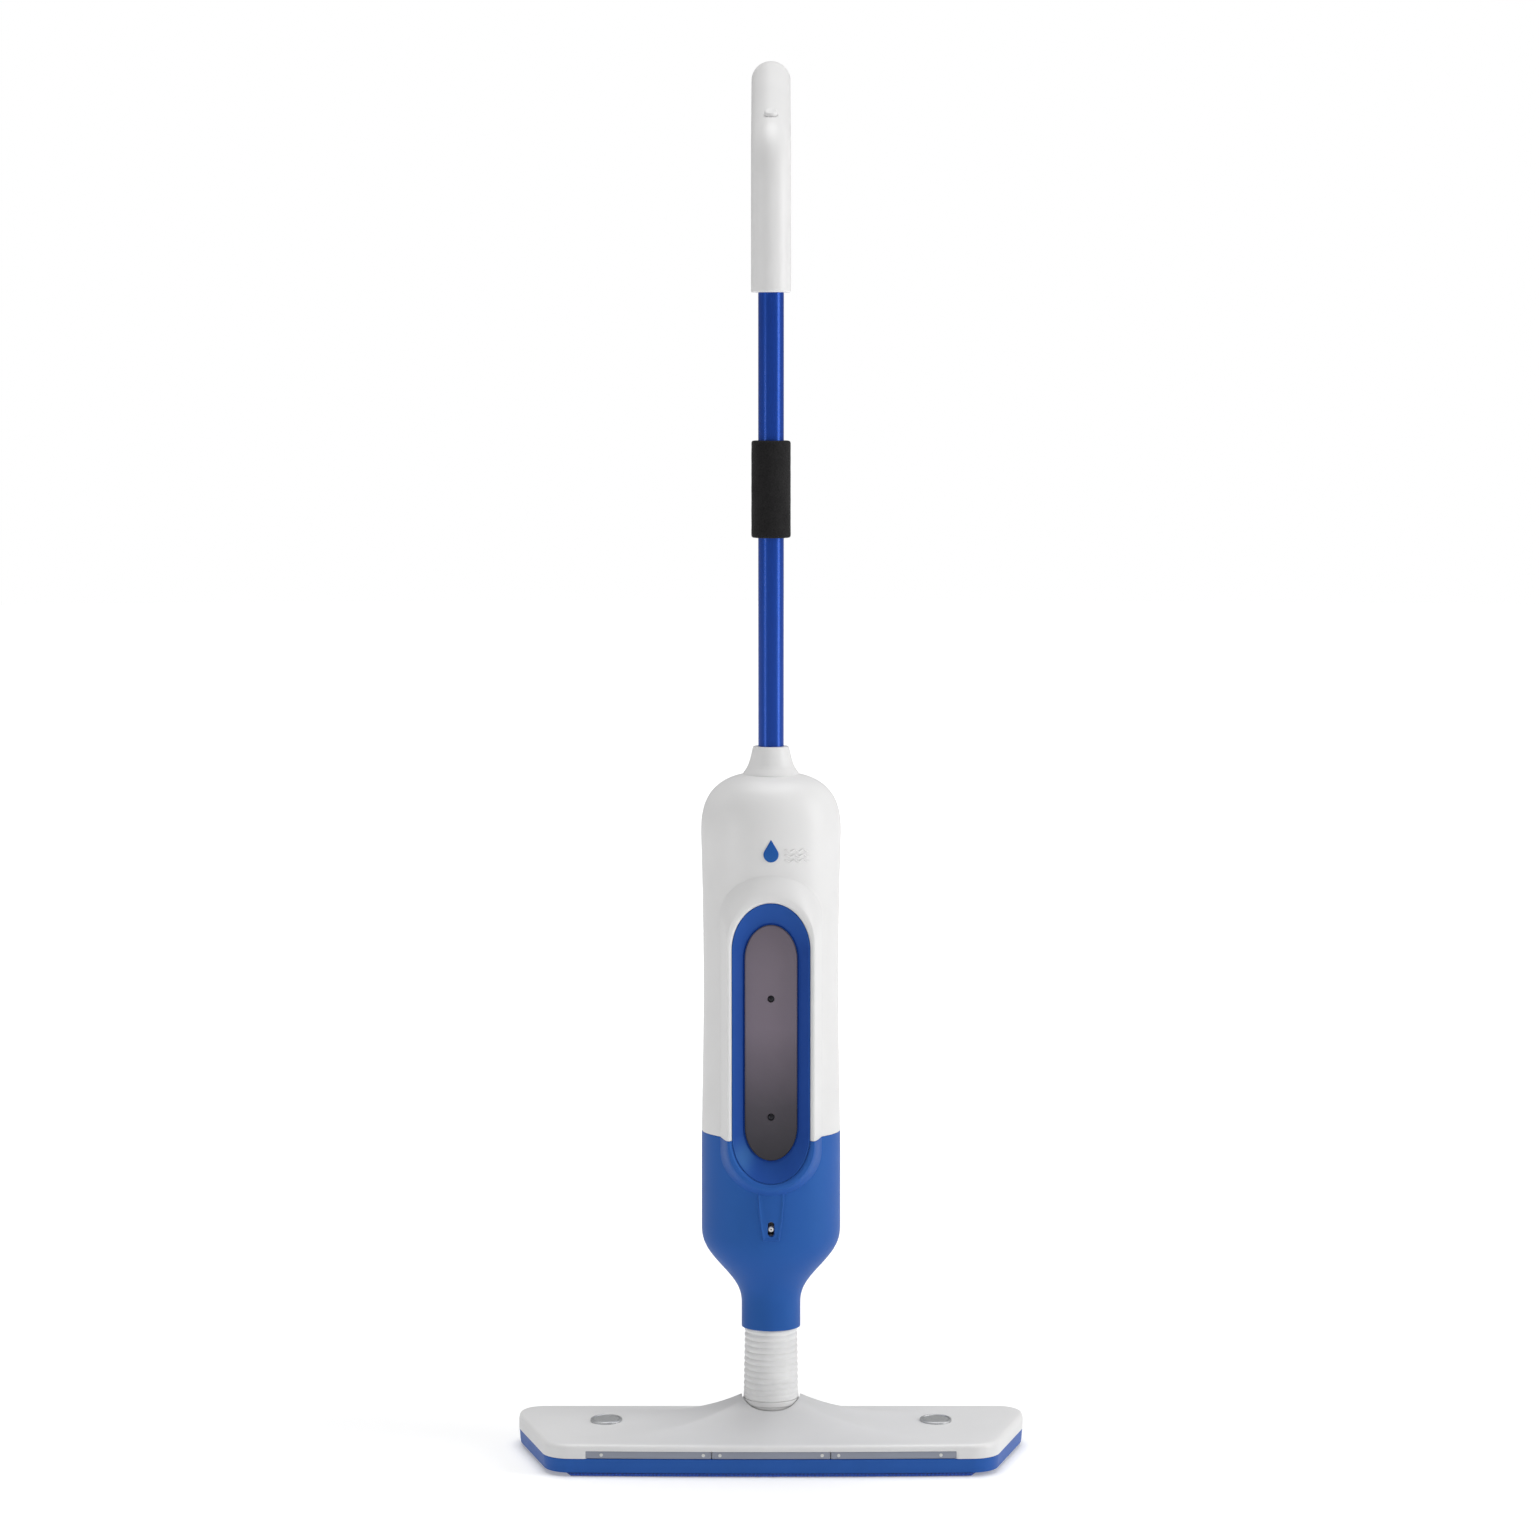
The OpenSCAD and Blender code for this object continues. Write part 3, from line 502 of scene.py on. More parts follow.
def bare_metal(name, colour, rough=0.28, stretch=(1, 1, 1)):
    material, tree, shader = new_material(name)
    brushed = spot_noise(tree, 900.0, 3.0, 0.6, stretch)
    tint(tree, shader, brushed, shade(colour, 0.85), shade(colour, 1.05))
    vary(tree, shader, brushed, rough - 0.05, rough + 0.05)
    relief(tree, shader, brushed, 0.06, 0.01)
    settle(shader, Metallic=1.0)
    return material


def soft_rubber(name, colour, rough=0.6):
    """Moulded rubber: matt, with a soft sheen and a very fine grain."""
    material, tree, shader = new_material(name)
    cloud = spot_noise(tree, 45.0, 3.0)
    tint(tree, shader, cloud, shade(colour, 0.94), shade(colour, 1.03))
    fine = spot_noise(tree, 3000.0, 2.0)
    vary(tree, shader, fine, rough - 0.05, rough + 0.08)
    relief(tree, shader, fine, 0.3, 0.03)
    settle(shader, Sheen_Weight=0.12, Sheen_Roughness=0.5)
    return material


def foam(name, colour):
    """Closed-cell foam: small round cells with darker pits."""
    material, tree, shader = new_material(name)
    cells = in_place(tree, "ShaderNodeTexVoronoi", Scale=1150.0)
    tint(tree, shader, cells, shade(colour, 1.5), shade(colour, 0.55), 0, 0.75, "Distance")
    relief(tree, shader, cells, 0.55, 0.12, "Distance")
    vary(tree, shader, spot_noise(tree, 60.0, 3.0), 0.72, 0.9)
    settle(shader, Specular_IOR_Level=0.2, Sheen_Weight=0.03, Sheen_Roughness=0.45)
    return material


def microfibre(name, colour):
    """Looped microfibre: short soft loops in rows, with lighter tips."""
    material, tree, shader = new_material(name)
    loops = in_place(tree, "ShaderNodeTexVoronoi", Scale=620.0)
    rows = in_place(tree, "ShaderNodeTexWave", Scale=95.0, Distortion=2.2, Detail=2.0)
    both = node(tree, "ShaderNodeMix")
    both.inputs[0].default_value = 0.4
    wire(tree, loops, "Distance", both, "A")
    wire(tree, rows, "Fac", both, "B")
    tint(tree, shader, both, shade(colour, 1.45), shade(colour, 0.6), 0, 1, "Result")
    relief(tree, shader, both, 0.8, 0.5, "Result")
    settle(shader, Roughness=0.92, Sheen_Weight=0.6, Sheen_Roughness=0.4)
    return material


def hook_tape(name, colour):
    """Hook tape: a grid of tiny hooks."""
    material, tree, shader = new_material(name)
    hooks = in_place(tree, "ShaderNodeTexVoronoi", Scale=900.0, Randomness=0.25)
    tint(tree, shader, hooks, shade(colour, 2.2), shade(colour, 0.5), 0, 1, "Distance")
    relief(tree, shader, hooks, 1.0, 0.6, "Distance")
    settle(shader, Roughness=0.7)
    return material


def smoked_window_painted_light_and_shade(name, low_z, high_z):
    """Smoked window with painted light and shade: painted lighter where the lit tank stands behind it, and
    painted shade darkening it towards its foot.
    """
    material, tree, shader = new_material(name)
    split = in_place(tree, "ShaderNodeSeparateXYZ")
    height = node(tree, "ShaderNodeMapRange", From_Min=low_z * MM, From_Max=high_z * MM)
    wire(tree, split, "Z", height, "Value")
    both = node(tree, "ShaderNodeMix")
    both.inputs[0].default_value = 0.07
    wire(tree, height, "Result", both, "A")
    wire(tree, spot_noise(tree, 30.0, 3.0), "Fac", both, "B")
    # painted light and shade by height: near black at the window's foot as painted shade, a painted lighter
    # band higher up for the lit tank behind
    ramp = node(tree, "ShaderNodeValToRGB")
    stops = [(0.0, (0.022, 0.021, 0.027)), (0.25, (0.072, 0.063, 0.078)), (0.55, (0.190, 0.157, 0.195)),
             (0.8, (0.190, 0.158, 0.192)), (1.0, (0.160, 0.131, 0.160))]
    for position, _ in stops[1:-1]:
        ramp.color_ramp.elements.new(position)
    for element, (position, colour) in zip(ramp.color_ramp.elements, stops):
        element.position = position
        element.color = (*colour, 1)
    wire(tree, both, "Result", ramp, "Fac")
    wire(tree, ramp, "Color", shader, "Base Color")
    fine = spot_noise(tree, 1800.0, 2.0)
    vary(tree, shader, fine, 0.3, 0.4)
    relief(tree, shader, fine, 0.1, 0.01)
    settle(shader, Specular_IOR_Level=0.3)
    return material


def clear_plastic(name, colour):
    """Milky blown plastic, slightly see-through."""
    material, tree, shader = new_material(name)
    cloud = spot_noise(tree, 35.0, 3.0)
    tint(tree, shader, cloud, shade(colour, 0.93), colour)
    vary(tree, shader, cloud, 0.25, 0.4)
    relief(tree, shader, cloud, 0.2, 0.2)
    settle(shader, Transmission_Weight=0.45, IOR=1.46)
    return material


WHITE = (0.745, 0.742, 0.74)
BLUE = (0.026, 0.099, 0.385)
BLUE_GLOSS = (0.28, 0.95, 1.0)
TUBE_GLOSS = (0.15, 0.5, 1.0)
MATERIALS = {
    "white_shell": moulded("white_shell", WHITE, 0.42, depth=0.02, spread=0.015),
    "white_inner": moulded("white_inner", (0.70, 0.70, 0.68), 0.5, spread=0.03),
    "boot_rubber": soft_rubber("boot_rubber", (0.83, 0.828, 0.826)),
    "blue_shell": moulded("blue_shell", BLUE, 0.48, depth=0.02, spread=0.03, specular=0.22,
                          gloss=BLUE_GLOSS),
    "blue_bowl": moulded("blue_bowl", (0.019, 0.067, 0.325), 0.38, depth=0.01, spread=0.03, specular=0.3,
                         gloss=BLUE_GLOSS),
    "blue_base": moulded("blue_base", (0.026, 0.092, 0.385), 0.45, spread=0.04, specular=0.3,
                         gloss=BLUE_GLOSS),
    "emblem_blue": moulded("emblem_blue", (0.018, 0.085, 0.36), 0.3, depth=0.01, spread=0.03, specular=0.4,
                           gloss=BLUE_GLOSS),
    "pad_fabric": microfibre("pad_fabric", (0.0165, 0.068, 0.36)),
    "hook_tape": hook_tape("hook_tape", (0.02, 0.022, 0.03)),
    # the smoked window's colour holds painted light and painted shade, set by height
    "smoked_plastic": smoked_window_painted_light_and_shade("smoked_plastic", PANE[1], PANE[2]),
    "smoked_strip": moulded("smoked_strip", (0.275, 0.295, 0.355), 0.34, depth=0.01, coat=0.1, spread=0.04),
    "clear_plastic": clear_plastic("clear_plastic", (0.80, 0.84, 0.87)),
    "dark_plastic": moulded("dark_plastic", (0.075, 0.08, 0.095), 0.45, spread=0.06),
    "tube_paint": painted_tube("tube_paint", (0.011, 0.047, 0.31), TUBE_GLOSS),
    "foam_black": foam("foam_black", (0.0125, 0.012, 0.0125)),
    "steel": bare_metal("steel", (0.56, 0.57, 0.58)),
    "push_rod_metal": bare_metal("push_rod_metal", (0.60, 0.60, 0.61), 0.22, (1, 1, 0.03)),
    "badge_metal": bare_metal("badge_metal", (0.58, 0.59, 0.60), 0.48),
    "seal_rubber": soft_rubber("seal_rubber", (0.022, 0.022, 0.024), 0.5),
}
DARK_SCREW = bare_metal("dark_screw", (0.035, 0.035, 0.04), 0.32)


def dress(obj, body, slot, nodes, material=None):
    """Paints a piece, rides it on its body, and hides the CAD nodes it stands for."""
    obj.data.materials.clear()
    obj.data.materials.append(material or MATERIALS[slot])
    if body:
        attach(obj, body)
    if nodes:
        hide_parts(*nodes)
    return obj


def dress_cad_nodes():
    """Gives each CAD node that still shows the material of its slot."""
    slots = {part["node"]: part["material_slot"] for part in frame["record"]["subparts"]}
    for name, obj in frame["nodes"].items():
        material = MATERIALS[slots[name]]
        if obj.material_slots:
            for place in obj.material_slots:
                place.material = material
        else:
            obj.data.materials.append(material)


# ======== head ========


def front_y(x, d=0.0):
    return FRONT_BOW * (x / FRONT_C[0]) ** 2 - HEAD_FRONT + d


def front_centre():
    """Centre of the front corner's arc, tangent to the leaning side and the front."""
    nx, ny = math.cos(math.radians(HEAD_LEAN)), -math.sin(math.radians(HEAD_LEAN))
    distance = SIDE_C[0] * nx + SIDE_C[1] * ny + SIDE_R
    y = FRONT_BOW + FRONT_R - HEAD_FRONT
    return (distance - FRONT_R - y * ny) / nx, y


FRONT_C = front_centre()


def arc(centre, radius, start, end, n):
    angles = np.radians(np.linspace(start, end, n + 1))
    return [(centre[0] + radius * math.cos(a), centre[1] + radius * math.sin(a)) for a in angles]


def head_outline(d=0.0):
    """Outline of the head drawn in by d, from the rear middle round the right, the front and the left."""
    corner = 22
    right = [(x, HEAD_REAR - d) for x in np.linspace(0, REAR_C[0], 40, endpoint=False)]
    right += arc(REAR_C, REAR_R - d, 90, 0, corner)
    right += arc(SIDE_C, SIDE_R - d, 0, -HEAD_LEAN, 8)
    front_arc = arc(FRONT_C, FRONT_R - d, -HEAD_LEAN, -88, corner)
    right += [tuple(between(right[-1], front_arc[0], t)) for t in np.linspace(0, 1, 10)[1:-1]]
    right += front_arc
    reach = FRONT_C[0] * 0.985
    middle = [(x, front_y(x, d)) for x in np.linspace(reach, -reach, 96)]
    left = [(-x, y) for x, y in reversed(right)]
    return [*right, *middle, *left[:-1]]


def ray_reach(outline, angles):
    """Distance from the origin to an outline along each angle."""
    p = np.asarray(outline, float)
    at = np.arctan2(p[:, 1], p[:, 0])
    order = np.argsort(at)
    at, p = at[order], p[order]
    at = np.concatenate([[at[-1] - 2 * math.pi], at, [at[0] + 2 * math.pi]])
    p = np.concatenate([p[-1:], p, p[:1]])
    angles = (np.asarray(angles) + math.pi) % (2 * math.pi) - math.pi
    k = np.clip(np.searchsorted(at, angles) - 1, 0, len(at) - 2)
    a, b = p[k], p[k + 1]
    c, s = np.cos(angles), np.sin(angles)
    edge = b - a
    return (a[:, 0] * edge[:, 1] - a[:, 1] * edge[:, 0]) / (c * edge[:, 1] - s * edge[:, 0])


def make_pad():
    """Looped microfibre pad with a bound edge, pressed flat under the base."""
    rear_arc = [*arc(SIDE_C, SIDE_R - 7, -HEAD_LEAN, 0, 6), *arc(REAR_C, REAR_R - 7, 0, 90, 14)]
    front = [(x, front_y(x, 1)) for x in np.linspace(-PAD_HALF, PAD_HALF, 90)]
    sides = [tuple(between(front[-1], rear_arc[0], t)) for t in np.linspace(0, 1, 24)[1:-1]]
    left = [(-x, y) for x, y in reversed([*sides, *rear_arc])]
    rear = [(x, HEAD_REAR - 7) for x in np.linspace(REAR_C[0], -REAR_C[0], 80)[1:-1]]
    levels = [(9, 0.25), (6, 0.12), (3.4, 0.3), (2.8, 0.15), (1.2, 0.05), (0.2, 0.6), (0, 1.3), (0.2, 2.0),
              (1.0, 2.45), (2.2, 2.6), (9, 2.6)]
    rings = np.array(levelled([*front, *sides, *rear_arc, *rear, *left], levels))
    for ring, (d, _) in zip(rings, levels):
        if d < 3:
            for p in ring:
                lump = 0.28 * noise.noise(Vector((p[0] * 0.16, p[1] * 0.16, p[2])))
                p[0] += lump * np.sign(p[0])
                p[1] += lump
    pad = dress(solid("pad_cloth", rings, 60), "head", "pad_fabric", ["mop_pad"])


def make_base():
    levels = [(6.0, 3.4), (5.4, 2.9), (2.2, 2.8), (1.5, 3.1), (1.0, 6.0), (0.5, 12.9), (0.3, 14.0),
              (0.2, 14.7), (0.35, 15.15), (0.9, 15.4), (3.0, 15.45)]
    rings = [[(x, y, z) for x, y in head_outline(d)] for d, z in levels]
    dress(solid("base_moulding", rings), "head", "blue_base", ["head_base"])


def cover_height(t, side):
    """Height of the cover a share t of the way from its edge to the rim round the neck."""
    high = mix(CROWN_FRONT, CROWN_SIDE, side)
    return COVER_EDGE + (high - COVER_EDGE) * np.clip(t, 0, 1) ** (2.2 + 2 * side)


def cover_columns():
    """Angles of the cover's sections, from the right of the rear slot round the front to its left."""
    corner = math.atan2(HEAD_REAR, CUP_R)
    from_outline = np.array([math.atan2(y, x) for x, y in head_outline()])
    stops = [side * (STRIP_HALF + past) for side in (-1, 1) for past in (0.2, 0.21)]
    ends = [math.atan2(front_y(x), x) for x in stops]
    cup = np.radians(np.arange(-180, 181, 3.0))
    angles = np.concatenate([from_outline, ends, cup, [corner, math.pi - corner]])
    turn = (corner - angles) % (2 * math.pi)
    last = (corner - (math.pi - corner)) % (2 * math.pi)
    turn = np.unique(np.round(turn[turn <= last + 1e-6], 7))
    keep = np.concatenate([[True], np.diff(turn) > 2e-6])
    return corner - turn[keep]


def make_cover():
    """Cover: a smooth hill towards the neck, two ears, a cup for the neck and a slot behind it."""
    angles = cover_columns()
    c, s = np.cos(angles), np.sin(angles)
    side = np.abs(c) ** 3
    reach = {d: ray_reach(head_outline(d), angles) for d in (0, 0.25, 0.9, 1.6, 2.6, 4, 5.2)}
    inner = np.where(s < 0, CUP_R, np.minimum(CUP_R / np.maximum(np.abs(c), 1e-6), reach[0]))
    high_inner = np.minimum(inner, reach[4] - 0.01)
    lip = np.minimum(0.8, reach[4] - high_inner)
    edge_x = np.abs(reach[0] * c)
    channel = (s < 0) & (edge_x < STRIP_HALF + 0.205)

    def section(radius, z):
        x, y = radius * c, radius * s
        clamp = (y > 0) & (np.abs(x) < CUP_R)
        x = np.where(clamp, np.sign(c) * CUP_R, x)
        return np.stack([x, y, np.broadcast_to(z, x.shape)], 1)

    sunk = np.where(channel, reach[5.2], reach[0])
    rows = [section(inner, BASE_TOP), section(sunk, BASE_TOP)]
    rows.append(section(sunk, np.where(channel, STRIP_TOP, BASE_TOP + 0.4)))
    rows.append(section(reach[0], np.where(channel, STRIP_TOP, 19.0)))
    rows += [section(reach[0], z) for z in (STRIP_TOP + 0.25, COVER_EDGE - 4)]
    shoulder = ((0.25, 2.6), (0.9, 1.4), (1.6, 0.75), (2.6, 0.3))
    rows += [section(reach[d], COVER_EDGE - drop) for d, drop in shoulder]
    steps = np.concatenate([np.linspace(0, 0.7, 16, endpoint=False), np.linspace(0.7, 1, 22)])
    span = reach[4] - CROWN_R
    for t in steps:
        radius = reach[4] - span * t
        stop = np.maximum(radius, high_inner + lip)
        share = (reach[4] - stop) / span
        rows.append(section(stop, cover_height(share, side)))
    top = cover_height((reach[4] - high_inner - lip) / span, side)
    rows += [section(high_inner + lip * share, top - drop) for share, drop in
             ((0.44, -0.02), (0.1, 0.22), (0, 0.7))]
    rows += [section(inner, z) for z in (COVER_EDGE - 4, (CUP_FLOOR + BASE_TOP) / 2)]
    shape = Shape()
    shape.grid(rows, along=True)
    for end in (0, -1):
        shape.fan([row[end] for row in rows])
    cup = arc((0, 0), CUP_R, 180, 360, 40)
    floor = [*cup, (CUP_R, HEAD_REAR - 0.2), (-CUP_R, HEAD_REAR - 0.2)]
    shape.stack([[(x, y, z) for x, y in floor] for z in (BASE_TOP, CUP_FLOOR)])
    dress(shape.build("cover_moulding", 33), "head", "white_shell", ["head_cover"])


def make_strip(side, x0, x1):
    """One length of the smoked strip, bent along the head's front."""
    low, high = x0 + 0.35, x1 - 0.35
    foot, top = BASE_TOP + 0.15, STRIP_TOP - 0.15
    section = rounded([(0.9, foot), (0.9, top), (5.0, top), (5.0, foot)], 0.6, 3)
    middle = np.mean(section, 0)
    ends = [(0.0, 0.8), (0.15, 0.93), (0.5, 1.0)]
    stops = [(low + a, g) for a, g in ends]
    stops += [(x, 1.0) for x in np.linspace(low + 1, high - 1, max(6, int((high - low) / 6)))]
    stops += [(high - a, g) for a, g in reversed(ends)]
    rings = [[(x, front_y(x, mix(middle[0], d, g)), mix(middle[1], z, g)) for d, z in section]
             for x, g in stops]
    dress(solid(f"strip_bar_{side}", rings, 50), "head", "smoked_strip", [f"strip_{side}"])


def make_strips():
    edges = [-STRIP_HALF, -STRIP_SPLIT, STRIP_SPLIT, STRIP_HALF]
    for side, x0, x1 in zip(("left", "middle", "right"), edges, edges[1:]):
        make_strip(side, x0, x1)
    pegs = Shape()
    for x in PEG_X:
        lathe(pegs, [(0, 0), (1.5, 0), (1.5, 8), (0, 8)], 0.45, (x, front_y(x, 0.55), PEG_Z), (0, 1, 0), 28)
    dress(pegs.build("strip_peg_heads"), "head", "white_inner", ["strip_pegs"])


def make_badges():
    """Plain round badges: a turned rim round a shallow dished face."""
    shape = Shape()
    for side in (-1, 1):
        tilt = (0, -math.sin(math.radians(2.5)), math.cos(math.radians(2.5)))
        profile = [(0, -1.5), (13.9, -1.5), (13.9, 0.5), (13.4, 0.85), (12.4, 0.85), (11.9, -0.1),
                   (11.3, -0.1), (10.9, 0.5), (5, 0.45), (0, 0.4)]
        lathe(shape, profile, 0.3, (side * BADGE[0], BADGE[1], BADGE[2]), tilt, 72)
    dress(shape.build("badge_discs", 50), "head", "badge_metal", ["head_badges"])


# ======== neck ========


def make_boot():
    """Corrugated rubber boot: soft round ribs over a plain foot."""
    outer = []
    for z in np.linspace(BOOT_Z, BOOT_TOP, 260):
        base = mix(24.0, 22.9, (z - BOOT_Z) / (NECK_Z - BOOT_Z))
        wave = abs(math.sin(math.pi * (z - BOOT_Z - 4.6) / RIB_PITCH)) ** 0.75
        depth = 1.3 * float(ease((z - BOOT_Z - 4.0) / 2)) * float(ease((NECK_Z + 1 - z) / 2))
        outer.append((base - depth * (1 - wave) - (0.3 if z > NECK_Z else 0), z))
    foot = [(23.4, BOOT_Z + 0.02), (23.85, BOOT_Z + 0.35)]
    profile = [(19.7, BOOT_Z + 0.02), *foot, *outer[3:], (19.7, BOOT_TOP)]
    inner = [(19.7, z) for z in np.linspace(BOOT_TOP, BOOT_Z, 40)[1:-1]]
    bellows = looped("boot_bellows", turned([*profile, *inner], 112), 70)
    boot = dress(bellows, None, "boot_rubber", ["boot"])
    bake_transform(boot)
    ring = Shape()
    skirt = [(21.6, RING_Z), (21.6, 41.5), (23.4, 41.5), (23.4, RING_Z)]
    corners = [(16.8, RING_Z), *skirt, (RING_R - 0.9, RING_Z), (RING_R, RING_Z + 0.9),
               (RING_R, BOOT_Z - 1.0), (RING_R - 0.5, BOOT_Z - 0.15), (16.8, BOOT_Z - 0.15)]
    lathe(ring, corners, 0.5, n=112)
    dress(ring.build("boot_foot_ring"), "knuckle", "white_shell", ["boot_ring"])


# ======== housing ========


def swell(z):
    t = np.clip((z - 131) / 72, 0, 1)
    return t ** 3 * (10 - 15 * t + 6 * t * t)


def half_width(z):
    """Half-width of the housing's outside at height z."""
    z = np.asarray(z, float)
    flare = 2 * np.clip((z - 410) / (DOME_Z - 410), 0, None) ** 2
    body = np.where(z > 410, WAIST + flare, WAIST + 1.8 * ease((410 - z) / 150))
    straight = NECK_R + (body - NECK_R) * swell(z)
    over = np.clip((z - DOME_Z) / DOME_H, 0, 1)
    dome = (WAIST + 2) * (1 - over ** DOME_POWER) ** (1 / DOME_POWER)
    return np.where(z > DOME_Z, dome, straight)


def half_depth(z):
    return half_width(z) * (1 - (1 - DEEP) * swell(z))


def on_body(angle, z):
    """Point on the housing's skin at an angle in radians and a height."""
    angle, z = np.broadcast_arrays(np.asarray(angle, float), np.asarray(z, float))
    return np.stack([half_width(z) * np.cos(angle), half_depth(z) * np.sin(angle), z], -1)


def angle_on_body(x, z):
    """Angle on the front of the housing at x and height z."""
    return 2 * math.pi - np.arccos(np.clip(x / half_width(z), -1, 1))


SIDE_STEPS = 46
SEAM_GAP = 0.12               # half the line between the white and the blue shell
ARCH_STEPS = 96
RAMP = np.linspace(0, 1, 13)
OUT = np.linspace(0, 1, 18) ** 1.25


def ramp_rise(v):
    """Share of the rim's height at a share v of its slope: a readable crease, then soft at the top."""
    return 1.3 * v - 0.3 * v ** 3


def window_rows(upwards, edge_z):
    """Rows of the housing's front round the window, from the patch's outer edge to inside the opening.

    upwards is True for the arch above the seam and False for the bowl shape below it, and edge_z is the
    height of the patch's far edge. Each row runs from the left seam round the arch to the right seam."""

    seam = SEAM_Z + (SEAM_GAP if upwards else -SEAM_GAP)

    def row(outline, y_of):
        """y_of gives the depth of an array of x and z."""
        w, low, high, end = outline
        centre = high - end if upwards else low + end
        rise = end if upwards else -end
        first = 0.0 if upwards else math.asin(max(0.0, (centre - seam + 3) / end))
        turn = np.linspace(math.pi - first, first, ARCH_STEPS + 1)
        arch_x = w * np.cos(turn)
        arch_z = centre + rise * np.sin(turn)
        side_z = np.linspace(seam, arch_z[0], SIDE_STEPS + 1)[:-1]
        side_x = np.full(SIDE_STEPS, w * math.cos(first))
        x = np.concatenate([-side_x, arch_x, side_x])
        z = np.concatenate([side_z, arch_z, side_z[::-1]])
        return np.stack([x, y_of(x, z), z], 1)

    def body_y(x, z):
        return -half_depth(z) * np.sqrt(np.clip(1 - (x / half_width(z)) ** 2, 0, 1))

    crease = row(CREASE, body_y)
    turn = np.linspace(math.pi, 0, ARCH_STEPS + 1)
    quarter = math.pi / 4
    centre = CREASE[2] - CREASE[3] if upwards else CREASE[1] + CREASE[3]
    left = turn >= 3 * quarter
    right = turn <= quarter
    edge_angle = np.where(left, math.pi, np.where(right, 2 * math.pi,
                          math.pi + math.pi * (3 * quarter - turn) / (2 * quarter)))
    share = np.where(left, (math.pi - turn) / quarter, np.where(right, turn / quarter, 1.0))
    edge_height = mix(centre, edge_z, share)
    side_z = np.linspace(seam, centre, SIDE_STEPS + 1)[:-1]
    left_angle, right_angle = np.full(SIDE_STEPS, math.pi), np.full(SIDE_STEPS, 2 * math.pi)
    outer_angle = np.concatenate([left_angle, edge_angle, right_angle])
    outer_z = np.concatenate([side_z, edge_height, side_z[::-1]])
    crease_angle = angle_on_body(crease[:, 0], crease[:, 2])
    rows = []
    for v in OUT[::-1]:
        angle = mix(crease_angle, outer_angle, v)
        rows.append(on_body(angle, mix(crease[:, 2], outer_z, v)))
    for v in RAMP[1:]:
        outline = between(CREASE, RIM_TOP, v)
        rows.append(row(outline, lambda x, z: mix(crease[:, 1], LIP_Y, ramp_rise(v))))
    lip = [(0.55, 0.0, -0.10), (0.9, 0.0, -0.06), (1.0, 0.0, 0.06), (1.0, 0.35, 0.55), (1.0, 0.8, 1.5),
           (1.0, 1.0, 2.2), (1.0, 1.0, 6.5)]
    wide = tuple(g + d for g, d in zip(OPENING, (1.75, -1.75, 1.75, 1.75)))
    for flat, inward, back in lip:
        outline = between(between(RIM_TOP, wide, flat), OPENING, inward)
        rows.append(row(outline, lambda x, z: np.full(len(x), LIP_Y + back)))
    return rows, outer_angle, outer_z


def dome_levels():
    """Heights of the dome's rows, evenly spread along its curve up to where the collar hides them."""
    phi = np.linspace(0, math.asin(((DOME_END - DOME_Z) / DOME_H) ** (DOME_POWER / 2)), 32)
    return DOME_Z + DOME_H * np.sin(phi) ** (2 / DOME_POWER)


def front_columns(outer_angle):
    """The patch's columns along its far edge, and their angles."""
    start = SIDE_STEPS + ARCH_STEPS // 4
    stop = SIDE_STEPS + 3 * ARCH_STEPS // 4
    return outer_angle[start:stop + 1]


def wave_rib(shape, x0, x1, z0, radius=0.8):
    """Raised wavy line on the front of the upper shell."""
    xs = np.linspace(x0, x1, 60)
    zs = z0 + 1.0 * np.sin((xs - x0) * 2 * math.pi / 7.2)
    ys = -half_depth(zs) * np.sqrt(1 - (xs / half_width(zs)) ** 2) - 0.05
    taper = np.minimum(1, np.minimum(xs - x0, x1 - xs) / 2.0 + 0.12)
    shape.stack(swept(np.stack([xs, ys, zs], 1), radius * taper, 12))


def make_upper_front():
    rows, outer_angle, _ = window_rows(True, DOME_Z)
    shape = Shape()
    shape.grid(rows)
    shape.grid([on_body(front_columns(outer_angle), z) for z in dome_levels()])
    skin = shape.build("upper_front_moulding", 33)
    outward(skin)
    thicken(skin)
    soften(skin, 33)
    add_island(skin, lambda extra: [wave_rib(extra, 11, 32.5, z) for z in (526.5, 530.8, 535.1)])
    dress(skin, "housing", "white_shell", ["upper_front_shell"])


def add_island(obj, fill):
    """Joins more closed solids into a piece's mesh."""
    extra = Shape()
    fill(extra)
    other = extra.build("island")
    work = bmesh.new()
    work.from_mesh(obj.data)
    work.from_mesh(other.data)
    work.to_mesh(obj.data)
    work.free()
    bpy.data.objects.remove(other)


SHELL_SCREWS = [(x, z) for x in (-36, 36) for z in (512, 556)]


def rear_y(x, z):
    return float(half_depth(z) * math.sqrt(max(0.0, 1 - (x / float(half_width(z))) ** 2)))


def screw_wells(extra, places, radius, floor_y):
    """Tubes that lead from the skin down to the screws."""
    for x, z in places:
        top = rear_y(x, z) - 1.0
        lathe(extra, [(radius, floor_y), (radius + 1.3, floor_y), (radius + 1.3, top), (radius, top)], 0.3,
              (x, 0, z), (0, 1, 0), 40)


